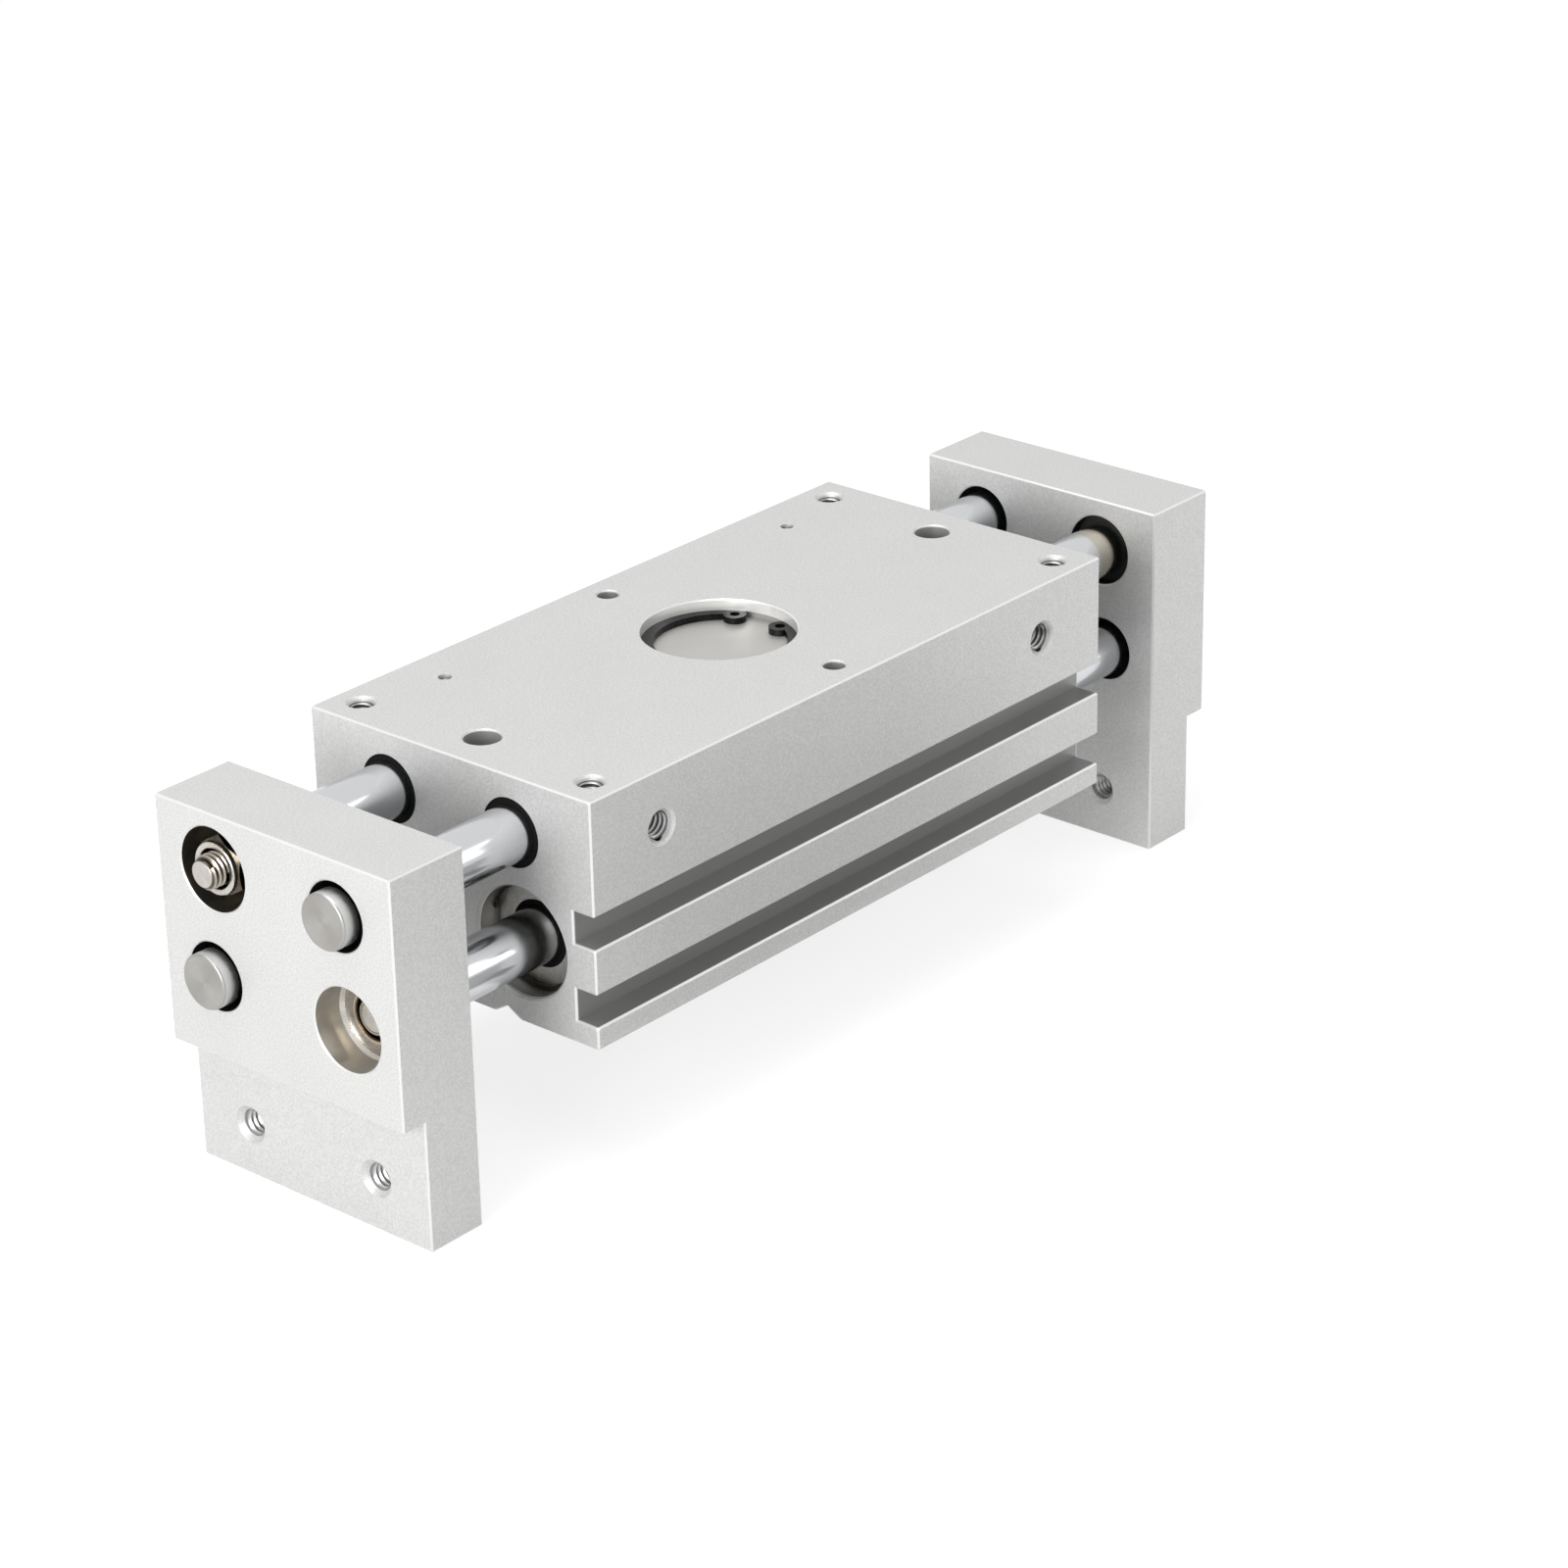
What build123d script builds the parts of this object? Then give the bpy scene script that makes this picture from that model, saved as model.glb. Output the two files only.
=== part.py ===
"""Wide opening pneumatic gripper.

Two fingers slide apart on four rods. Each finger is fixed to one piston rod, driven by air,
and to one rack rod. Both racks mesh with one pinion in the middle of the housing, so the two
fingers always move the same distance in opposite directions.

X runs along the rods, -Y is the face with the two air ports and the two sensor slots, +Z is up.
The origin is midway between the fingers, at the level of the fingers' lower ends.
Left is -X, right is +X, front is -Y, back is +Y.
"""
import os
from math import atan, ceil, cos, hypot, pi, radians, sin, sqrt, tan

from build123d import *

os.makedirs("parts", exist_ok=True)

# Housing: its width and height follow from the walls round the bores
body_length = 138.0
wall_beside_bore = 7.0
wall_under_bore = 5.0
wall_between_bores = 3.7
edge_chamfer = 0.3

# Fingers
finger_gap = 24.0
finger_thickness = 16.8
finger_foot_thickness = 12.0
finger_width = 54.5
finger_drop = 24.3
finger_top_below_housing = 0.3
finger_step_below_housing = 0.25
finger_hole_spacing = 30.0
finger_hole_height = 9.7

# Strokes of one finger, counted from the position shown
opening_travel = 26.0
closing_travel = 24.0

# Rods
rod_diameter = 10.0
rod_end_chamfer = 0.4
rod_end_proud = 2.65
piston_offset_y = 15.5

# Threads: tapping and outer diameters
m5_tapping, m5_mouth = 4.2, 5.7
m6_tapping, m6_outer, m6_mouth, m6_clearance = 5.0, 6.0, 6.9, 6.6
m8_outer = 8.0

# Clearances: running between moving pieces, static between fixed ones
running_gap = 0.05
static_gap = 0.01
piston_gap = 0.1
rack_bore_gap = 0.4

# Rack and pinion
module = 1.0
pinion_teeth = 22
pressure_angle = radians(20)
root_gap = 0.25 * module
backlash = 0.2
pinion_width = 9.5
pinion_shaft_diameter = 6.0
pinion_shaft_length = 21.0
thrust_washer_thickness = 0.95
thrust_washer_diameter = 15.0
axial_play = 0.05
pitch_line_offset = 3.25
rack_flat_margin = 0.8

# Window over the pinion
tip_gap = 0.5
window_seat_width = 1.55
window_ring_depth = 2.15
window_ring_thickness = 1.2
window_ring_width = 2.5
window_ring_ear_radius = 2.1
window_ring_ear_angle = radians(24)
window_ring_turn = radians(4)
window_cover_thickness = 1.3
window_seal_thickness = 0.3
pinion_cover_gap = 0.1

# Cylinders in the housing
bore_diameter = 20.0
bore_mouth_chamfer = 0.6
cover_recess = 4.6
cover_length = 11.4
cover_ring_thickness = 1.0
cover_ring_width = 1.3
cover_ring_gap_angle = radians(14)
ring_groove_depth = 0.5
ring_ear_hole_share = 0.45
ring_bow_share = 0.15
gasket_width = 2.0
gasket_thickness = 1.4
gasket_station = 4.0
cover_bush_length = 5.5
bush_wall = 1.5
seal_diameter = 15.0
seal_width = 3.0
seal_lip_diameter = 12.3
seal_lip_length = 1.8
bumper_thickness = 2.0
bumper_bore_gap = 1.0
bumper_wall = 2.2

# Pistons
piston_length = 22.0
piston_seal_width = 2.4
piston_seal_depth = 2.2
piston_seal_inset = 2.0
wear_ring_width = 4.0
wear_ring_start = 1.0
wear_ring_thickness = 0.8
magnet_width = 4.0
magnet_thickness = 2.4
magnet_inset = 0.4
clip_thickness = 1.0
clip_groove_depth = 0.5
clip_diameter = 12.4

# Rack bushes and scrapers in the ends of the housing
rack_bush_diameter = 12.6
rack_bush_length = 6.0
scraper_length = 3.0
scraper_inset = 0.15

# Joints between rods and fingers
hole_chamfer = 0.25
nut_pocket_diameter = 15.1
nut_pocket_depth = 9.4
spring_washer_inset = 1.0
rod_pocket_depth = 4.0
rack_pocket_diameter = 13.6
piston_pocket_diameter = 12.4
plain_hole_diameter = 12.4
joint_washer_thickness = 1.5
spring_washer_thickness = 1.2
rack_nut_flats = 10.0
rack_nut_height = 6.9
rack_nut_collar_height = 0.9
rack_nut_collar_diameter = 9.5
rack_nut_collar_bore = 7.2
rack_stud_proud = 2.3
rack_stud_chamfer = 0.5
piston_nut_washer_thickness = 0.8
piston_nut_flange_diameter = 14.2
piston_nut_flange_thickness = 2.1
piston_nut_collar_diameter = 9.8
piston_nut_collar_height = 0.5
piston_nut_sleeve_diameter = 10.0
piston_nut_edge_chamfer = 0.25
piston_stud_proud = 0.1
piston_stud_chamfer = 0.9
piston_seat_bevel_depth = 0.8

# Holes in the housing, placed by their distances from its faces
mount_inset_x, mount_inset_y, mount_depth = 6.6, 5.8, 10.0
dowel_diameter, dowel_mouth, dowel_depth = 4.0, 4.5, 6.0
through_hole_diameter, through_hole_mouth, through_hole_inset = 6.6, 7.2, 8.7
port_inset, port_depth = 17.25, 8.0
air_passage_diameter = 2.5
plugged_hole_inset_x, plugged_hole_inset_y, plugged_hole_depth = 23.3, 9.4, 24.0
plug_ball_depth = 1.6
countersink_angle = 90

# Sensor slots in the front face and grooves along the underside
slot_depth = 4.8
slot_width = 6.0
slot_heights = (7.2, 21.5)
groove_inner_edge, groove_bottom, groove_outer_edge = 8.4, 11.3, 14.5
groove_depth = 1.75

# Places worked out from the sizes above
rod_radius = rod_diameter / 2
bore_radius = bore_diameter / 2
half_length = body_length / 2
half_width = piston_offset_y + bore_radius + wall_beside_bore
base_z = finger_drop
piston_z = base_z + wall_under_bore + bore_radius
rack_z = piston_z + bore_radius + wall_between_bores + rack_bush_diameter / 2
pinion_z = rack_z - pinion_width / 2
pinion_top_z = rack_z + pinion_width / 2
chamber_floor_z = pinion_z - axial_play - thrust_washer_thickness
upper_washer_z = pinion_top_z + axial_play
window_cover_z = upper_washer_z + thrust_washer_thickness + pinion_cover_gap
window_seat_z = window_cover_z - window_seal_thickness
window_ring_z = window_cover_z + window_cover_thickness
top_z = window_ring_z + window_ring_thickness + window_ring_depth
finger_inner_x = half_length + finger_gap
finger_outer_x = finger_inner_x + finger_thickness
finger_top_z = top_z - finger_top_below_housing
finger_step_z = base_z - finger_step_below_housing
rod_end_x = finger_outer_x + rod_end_proud
pocket_floor_x = finger_inner_x + rod_pocket_depth
nut_seat_x = finger_outer_x - nut_pocket_depth
piston_nut_seat_x = nut_seat_x + piston_nut_washer_thickness
piston_nut_face_x = piston_nut_seat_x + piston_nut_flange_thickness
piston_nut_end_x = piston_nut_face_x + piston_nut_collar_height
rod_shoulder_x = pocket_floor_x - joint_washer_thickness
cover_outer_x = half_length - cover_recess
cover_inner_x = cover_outer_x - cover_length
bumper_x = cover_inner_x - bumper_thickness
piston_centre_x = -(bumper_x - opening_travel - piston_length / 2 - piston_gap)
scraper_outer_x = half_length - scraper_inset
scraper_inner_x = scraper_outer_x - scraper_length
rack_bush_inner_x = scraper_inner_x - rack_bush_length
rod_hole_radius = rod_radius + running_gap
cover_bush_radius = rod_radius + bush_wall
pitch = pi * module
pitch_radius = module * pinion_teeth / 2
tip_radius = pitch_radius + module
chamber_radius = tip_radius + tip_gap
window_radius = chamber_radius + window_seat_width
tooth_spaces_each_way = ceil(max(opening_travel, closing_travel) / pitch) + 1
rack_offset_y = pitch_radius + pitch_line_offset
root_radius = pitch_radius - module - root_gap
base_radius = pitch_radius * cos(pressure_angle)

# The four rods: the left jaw's racks and pistons, and the same two turned half round
rack_line = (rack_offset_y, rack_z)
piston_line = (-piston_offset_y, piston_z)
other_rack_line = (-rack_offset_y, rack_z)
other_piston_line = (piston_offset_y, piston_z)


def export_piece(piece, name):
    """Label a finished piece and write it to its own file."""
    piece.part.label = name
    export_step(piece.part, f"parts/{name}.step")


def export_turned(piece, name):
    """Write a copy of a left-hand piece, turned half round the vertical axis."""
    with BuildPart() as turned:
        add(piece.part, rotation=(0, 0, 180))
    export_piece(turned, name)


def lathe(outline, line):
    """Turn an outline of (x, radius) points round the X-parallel line through (y, z)."""
    y, z = line
    with BuildPart() as piece:
        with BuildSketch(Plane(origin=(0, y, z), x_dir=(1, 0, 0), z_dir=(0, -1, 0))):
            with BuildLine():
                Polyline(*outline, close=True)
            make_face()
        revolve(axis=Axis((0, y, z), (1, 0, 0)))
    return piece


def ring(x_from, x_to, outer, inner, line):
    """A plain ring round the X-parallel line through (y, z)."""
    return lathe([(x_from, inner), (x_to, inner), (x_to, outer), (x_from, outer)], line)


def group(pieces):
    """Several separate solids in one part."""
    with BuildPart() as together:
        for piece in pieces:
            add(piece.part)
    return together


def bore(x_from, x_to, radius, lines):
    """Cut round holes along X into the part that is being built."""
    with BuildSketch(Plane.YZ.offset(x_from)) as holes:
        with Locations(*lines):
            Circle(radius)
    extrude(holes.sketch, amount=x_to - x_from, mode=Mode.SUBTRACT)


def retaining_ring(plane, outer, width, thickness, gap_angle, ear_radius=0.0):
    """An open spring ring, its gap facing the plane's x axis, with drilled ears if it has any."""
    ear_track = outer - ear_radius
    hole_radius = ear_radius * ring_ear_hole_share
    gap_reach = outer * 2
    with BuildPart() as spring_ring:
        with BuildSketch(plane):
            Circle(outer)
            with Locations((width * ring_bow_share, 0)):
                Circle(outer - width, mode=Mode.SUBTRACT)
            with BuildLine():
                Polyline(
                    (0, 0),
                    (gap_reach * cos(gap_angle), gap_reach * sin(gap_angle)),
                    (gap_reach * cos(gap_angle), -gap_reach * sin(gap_angle)),
                    close=True,
                )
            make_face(mode=Mode.SUBTRACT)
            ear_sides = (-1, 1) if ear_radius else ()
            for side in ear_sides:
                with Locations((ear_track * cos(gap_angle), side * ear_track * sin(gap_angle))):
                    Circle(ear_radius)
                    Circle(hole_radius, mode=Mode.SUBTRACT)
        extrude(amount=thickness)
    return spring_ring


def make_body_block():
    """The housing: an aluminium profile, drilled from its ends, top, front and underside."""
    rack_lines = (rack_line, other_rack_line)
    piston_lines = (piston_line, other_piston_line)
    with BuildPart() as block:
        with BuildSketch(Plane.YZ.offset(-half_length)):
            with Locations((0, (base_z + top_z) / 2)):
                Rectangle(2 * half_width, top_z - base_z)
            with Locations(*[(-half_width, base_z + height) for height in slot_heights]):
                Rectangle(2 * slot_depth, slot_width, mode=Mode.SUBTRACT)
            for side in (-1, 1):
                with BuildLine():
                    Polyline(
                        (side * groove_inner_edge, base_z),
                        (side * groove_bottom, base_z + groove_depth),
                        (side * groove_outer_edge, base_z),
                        close=True,
                    )
                make_face(mode=Mode.SUBTRACT)
        extrude(amount=body_length)
        long_edges = block.edges().filter_by(Axis.X)
        front_lips = long_edges.filter_by_position(Axis.Y, -half_width, -half_width)
        back_corners = long_edges.filter_by_position(Axis.Y, half_width, half_width)
        chamfer(front_lips + back_corners, edge_chamfer)
        end_faces = block.faces().filter_by(Axis.X).sort_by(Axis.X)
        rims = [edge for face in (end_faces[0], end_faces[-1]) for edge in face.outer_wire().edges()]
        chamfer(rims, edge_chamfer)

        # Rack bores, wider at the ends for the bushes, and the pinion's chamber between them
        bore(-half_length, half_length, rod_radius + rack_bore_gap, rack_lines)
        for end in (-1, 1):
            bore(end * rack_bush_inner_x, end * half_length, rack_bush_diameter / 2, rack_lines)
        with BuildSketch(Plane.XY.offset(top_z)):
            Circle(window_radius)
        extrude(amount=window_seat_z - top_z, mode=Mode.SUBTRACT)
        top_face = block.faces().filter_by(Axis.Z).sort_by(Axis.Z)[-1]
        chamfer(top_face.edges().filter_by(GeomType.CIRCLE), hole_chamfer)
        with BuildSketch(Plane.XY.offset(window_ring_z - static_gap)):
            Circle(window_radius + ring_groove_depth)
        extrude(amount=window_ring_thickness + 2 * static_gap, mode=Mode.SUBTRACT)
        with BuildSketch(Plane.XY.offset(chamber_floor_z)):
            Circle(chamber_radius)
        extrude(amount=window_seat_z - chamber_floor_z, mode=Mode.SUBTRACT)
        with BuildSketch(Plane.XY.offset(upper_washer_z)):
            Circle(pinion_shaft_diameter / 2)
        extrude(amount=-pinion_shaft_length - static_gap, mode=Mode.SUBTRACT)

        # Cylinder bores with chamfered mouths and ring grooves, each drilled from both ends
        for end in (-1, 1):
            mouths = [
                Plane(origin=(end * half_length, y, z), x_dir=(0, 1, 0), z_dir=(end, 0, 0))
                for y, z in piston_lines
            ]
            with Locations(*mouths):
                CounterSinkHole(
                    bore_radius, bore_radius + bore_mouth_chamfer, half_length, countersink_angle
                )
            bore(
                end * cover_outer_x,
                end * (cover_outer_x + cover_ring_thickness + 2 * static_gap),
                bore_radius + ring_groove_depth,
                piston_lines,
            )

        # Tapped, dowel and through holes in the top
        screw_x, screw_y = half_length - mount_inset_x, half_width - mount_inset_y
        plug_x, plug_y = half_length - plugged_hole_inset_x, half_width - plugged_hole_inset_y
        with Locations((0, 0, top_z)):
            with GridLocations(2 * screw_x, 2 * screw_y, 2, 2):
                CounterSinkHole(m5_tapping / 2, m5_mouth / 2, mount_depth, countersink_angle)
            with GridLocations(0, 2 * screw_y, 1, 2):
                CounterSinkHole(
                    dowel_diameter / 2, dowel_mouth / 2, dowel_depth, countersink_angle
                )
            with GridLocations(body_length - 2 * through_hole_inset, 0, 2, 1):
                CounterSinkHole(
                    through_hole_diameter / 2,
                    through_hole_mouth / 2,
                    top_z - base_z,
                    countersink_angle,
                )
            with Locations((0, plug_y)):
                with GridLocations(2 * plug_x, 0, 2, 1):
                    Hole(air_passage_diameter / 2, plugged_hole_depth)

        # Air ports in the front face, each with a passage slanting down to the front cylinder
        passage_run = half_width - piston_offset_y
        passage_drop = rack_z - piston_z
        for side in (-1, 1):
            port_mouth = (side * (half_length - port_inset), -half_width, rack_z)
            with Locations(Plane(origin=port_mouth, z_dir=(0, -1, 0))):
                CounterSinkHole(m6_tapping / 2, m6_mouth / 2, port_depth, countersink_angle)
            with BuildSketch(
                Plane(origin=port_mouth, x_dir=(1, 0, 0), z_dir=(0, passage_run, -passage_drop))
            ):
                Circle(air_passage_diameter / 2)
            extrude(amount=hypot(passage_run, passage_drop), mode=Mode.SUBTRACT)
    return block


def make_finger():
    """The left finger: a plate, thinner below the housing, drilled for the four rods."""
    with BuildPart() as finger:
        with BuildSketch(Plane.XZ):
            with BuildLine():
                Polyline(
                    (-finger_inner_x, 0),
                    (-finger_inner_x - finger_foot_thickness, 0),
                    (-finger_inner_x - finger_foot_thickness, finger_step_z),
                    (-finger_outer_x, finger_step_z),
                    (-finger_outer_x, finger_top_z),
                    (-finger_inner_x, finger_top_z),
                    close=True,
                )
            make_face()
        extrude(amount=finger_width / 2, both=True)
        inside_corner = (
            finger.edges()
            .filter_by(Axis.Y)
            .sort_by_distance((-finger_inner_x - finger_foot_thickness, 0, finger_step_z))[0]
        )
        chamfer([edge for edge in finger.edges() if edge != inside_corner], edge_chamfer)

        # Plain holes that the other jaw's rods pass through
        bore(
            -finger_outer_x,
            -finger_inner_x,
            plain_hole_diameter / 2,
            (other_rack_line, other_piston_line),
        )
        # Pockets for this jaw's two rods and their nuts, the lower one with a bevelled seat
        bore(-finger_outer_x, -nut_seat_x, nut_pocket_diameter / 2, (rack_line,))
        flange_fit = piston_nut_flange_diameter / 2 + running_gap
        seat_pocket = lathe(
            [
                (-finger_outer_x, 0),
                (-finger_outer_x, nut_pocket_diameter / 2),
                (-piston_nut_face_x - piston_seat_bevel_depth, nut_pocket_diameter / 2),
                (-piston_nut_face_x, flange_fit),
                (-nut_seat_x, flange_fit),
                (-nut_seat_x, 0),
            ],
            piston_line,
        )
        add(seat_pocket.part, mode=Mode.SUBTRACT)
        bore(-pocket_floor_x, -finger_inner_x, rack_pocket_diameter / 2, (rack_line,))
        bore(-pocket_floor_x, -finger_inner_x, piston_pocket_diameter / 2, (piston_line,))
        bore(-nut_seat_x, -pocket_floor_x, m6_clearance / 2, (rack_line,))
        sleeve_hole = piston_nut_sleeve_diameter / 2 + running_gap
        bore(-nut_seat_x, -pocket_floor_x, sleeve_hole, (piston_line,))

        # The mouths of the rod holes are chamfered on both faces of the plate
        faces_across = finger.faces().filter_by(Axis.X).sort_by(Axis.X)
        for face in (faces_across[0], faces_across[-1]):
            chamfer(face.edges().filter_by(GeomType.CIRCLE), hole_chamfer)

        # Tapped holes for the attachments, countersunk on both faces
        foot_outer_x = finger_inner_x + finger_foot_thickness
        for face_x, outward in ((-foot_outer_x, -1), (-finger_inner_x, 1)):
            with Locations(
                Plane(origin=(face_x, 0, finger_hole_height), x_dir=(0, 1, 0), z_dir=(outward, 0, 0))
            ):
                with GridLocations(finger_hole_spacing, 0, 2, 1):
                    CounterSinkHole(
                        m6_tapping / 2, m6_mouth / 2, finger_foot_thickness, countersink_angle
                    )
    return finger


def rod_outline(stud_radius, stud_end_x, stud_chamfer):
    """Half section of a rod: threaded stud on the left, plain chamfered end on the right."""
    return [
        (-stud_end_x, 0),
        (-stud_end_x, stud_radius - stud_chamfer),
        (-stud_end_x + stud_chamfer, stud_radius),
        (-rod_shoulder_x, stud_radius),
        (-rod_shoulder_x, rod_radius),
        (rod_end_x - rod_end_chamfer, rod_radius),
        (rod_end_x, rod_radius - rod_end_chamfer),
        (rod_end_x, 0),
    ]


def make_rack_rod():
    """The left jaw's rack rod: a round bar, flattened and toothed where it meets the pinion."""
    toothed_length = (2 * tooth_spaces_each_way + 1) * pitch
    tooth_top_y = pitch_radius - module
    tooth_root_y = pitch_radius + module + root_gap
    half_space = pitch / 4 + backlash / 4
    top = half_space + (pitch_radius - tooth_top_y) * tan(pressure_angle)
    bottom = half_space - (tooth_root_y - pitch_radius) * tan(pressure_angle)
    stud_end_x = finger_outer_x + rack_stud_proud
    bar = lathe(rod_outline(m6_outer / 2, stud_end_x, rack_stud_chamfer), rack_line)
    with BuildPart() as rod:
        add(bar.part)
        with BuildSketch(Plane.XY.offset(rack_z)):
            with Locations((0, tooth_top_y / 2)):
                Rectangle(toothed_length + 2 * rack_flat_margin, tooth_top_y)
            for step in range(-tooth_spaces_each_way, tooth_spaces_each_way + 1):
                middle = step * pitch
                with BuildLine():
                    Polyline(
                        (middle - top, tooth_top_y),
                        (middle - bottom, tooth_root_y),
                        (middle + bottom, tooth_root_y),
                        (middle + top, tooth_top_y),
                        close=True,
                    )
                make_face()
        extrude(amount=rod_diameter, both=True, mode=Mode.SUBTRACT)
    return rod


def make_piston_rod():
    """The left jaw's piston rod, grooved for the two clips that hold the piston."""
    bar = lathe(
        rod_outline(m8_outer / 2, piston_nut_end_x + piston_stud_proud, piston_stud_chamfer),
        piston_line,
    )
    with BuildPart() as rod:
        add(bar.part)
        for side in (-1, 1):
            inner_face = piston_centre_x + side * piston_length / 2
            groove = ring(
                inner_face,
                inner_face + side * clip_thickness,
                rod_radius + static_gap,
                rod_radius - clip_groove_depth,
                piston_line,
            )
            add(groove.part, mode=Mode.SUBTRACT)
    return rod


def make_piston():
    """The left jaw's piston with grooves for two seals, a wear ring and a magnet."""
    outer = bore_radius - piston_gap
    half = piston_length / 2
    seal_from = half - piston_seal_inset - piston_seal_width
    seal_to = half - piston_seal_inset
    grooves = [
        (-seal_to, -seal_from, outer - piston_seal_depth),
        (-magnet_width, 0, outer - magnet_thickness - magnet_inset),
        (wear_ring_start, wear_ring_start + wear_ring_width, outer - wear_ring_thickness),
        (seal_from, seal_to, outer - piston_seal_depth),
    ]
    outline = [(-half, rod_radius + static_gap), (-half, outer)]
    for groove_from, groove_to, depth_radius in grooves:
        outline += [
            (groove_from, outer),
            (groove_from, depth_radius),
            (groove_to, depth_radius),
            (groove_to, outer),
        ]
    outline += [(half, outer), (half, rod_radius + static_gap)]
    return lathe([(piston_centre_x + x, radius) for x, radius in outline], piston_line)


def make_rack_nut():
    """Hexagon lock nut on the rack rod's stud, with a raised collar at its outer end."""
    y, z = rack_line
    seat = nut_seat_x + spring_washer_thickness
    with BuildPart() as nut:
        with BuildSketch(Plane.YZ.offset(-seat)):
            with Locations((y, z)):
                RegularPolygon(rack_nut_flats / 2, 6, major_radius=False)
            with Locations((y, z)):
                Circle(m6_outer / 2 + static_gap, mode=Mode.SUBTRACT)
        extrude(amount=-rack_nut_height)
        with BuildSketch(Plane.YZ.offset(-seat - rack_nut_height)):
            with Locations((y, z)):
                Circle(rack_nut_collar_diameter / 2)
                Circle(rack_nut_collar_bore / 2, mode=Mode.SUBTRACT)
        extrude(amount=-rack_nut_collar_height)
    return nut


def make_pinion():
    """Spur pinion with involute flanks, each drawn as an arc through three points of the involute."""

    def flank_angle(radius):
        roll = sqrt(max(radius * radius / base_radius**2 - 1, 0))
        return half_tooth + tan(pressure_angle) - pressure_angle - (roll - atan(roll))

    def polar(radius, angle):
        return (radius * cos(angle), radius * sin(angle))

    half_tooth = (pitch / 2 - backlash / 2) / (2 * pitch_radius)
    middle_radius = (base_radius + tip_radius) / 2
    inside_root = root_radius - root_gap
    flank = [
        polar(radius, flank_angle(radius)) for radius in (base_radius, middle_radius, tip_radius)
    ]
    mirrored = [(x, -y) for x, y in reversed(flank)]
    foot = polar(inside_root, flank_angle(base_radius))
    with BuildSketch() as tooth:
        with BuildLine():
            ThreePointArc(*flank)
            ThreePointArc(flank[-1], (tip_radius, 0), mirrored[0])
            ThreePointArc(*mirrored)
            Polyline(mirrored[-1], (foot[0], -foot[1]), foot, flank[0])
        make_face()
    with BuildPart() as pinion:
        with BuildSketch(Plane.XY.offset(pinion_z)):
            Circle(root_radius)
            with PolarLocations(0, pinion_teeth, start_angle=90):
                add(tooth.sketch)
            Circle(pinion_shaft_diameter / 2 + running_gap, mode=Mode.SUBTRACT)
        extrude(amount=pinion_width)
    return pinion


def flat_disc(z_from, thickness, outer, inner=0.0):
    """A disc or washer round the pinion's axis."""
    with BuildPart() as disc:
        with BuildSketch(Plane.XY.offset(z_from)):
            Circle(outer)
            if inner:
                Circle(inner, mode=Mode.SUBTRACT)
        extrude(amount=thickness)
    return disc


# Housing and the pinion's window
export_piece(make_body_block(), "body_block")
export_piece(
    flat_disc(window_cover_z, window_cover_thickness, window_radius - static_gap), "pinion_cover"
)
export_piece(
    flat_disc(window_seat_z, window_seal_thickness, window_radius - static_gap, chamber_radius),
    "pinion_cover_seal",
)
window_ring = retaining_ring(
    Plane(
        origin=(0, 0, window_ring_z),
        x_dir=(cos(window_ring_turn), sin(window_ring_turn), 0),
        z_dir=(0, 0, 1),
    ),
    window_radius + ring_groove_depth - static_gap,
    window_ring_width,
    window_ring_thickness,
    window_ring_ear_angle,
    window_ring_ear_radius,
)
export_piece(window_ring, "pinion_cover_ring")
with BuildPart() as passage_balls:
    with Locations((0, half_width - plugged_hole_inset_y, top_z - plug_ball_depth)):
        with GridLocations(body_length - 2 * plugged_hole_inset_x, 0, 2, 1):
            Sphere(air_passage_diameter / 2 - static_gap)
export_piece(passage_balls, "passage_balls")

# Pinion, its fixed shaft and its thrust washers
export_piece(make_pinion(), "pinion")
export_piece(
    flat_disc(
        upper_washer_z - pinion_shaft_length,
        pinion_shaft_length,
        pinion_shaft_diameter / 2 - static_gap,
    ),
    "pinion_shaft",
)
thrust_washers = group(
    flat_disc(z_from, thrust_washer_thickness, thrust_washer_diameter / 2, pinion_shaft_diameter / 2)
    for z_from in (chamber_floor_z, upper_washer_z)
)
export_piece(thrust_washers, "thrust_washers")

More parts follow.
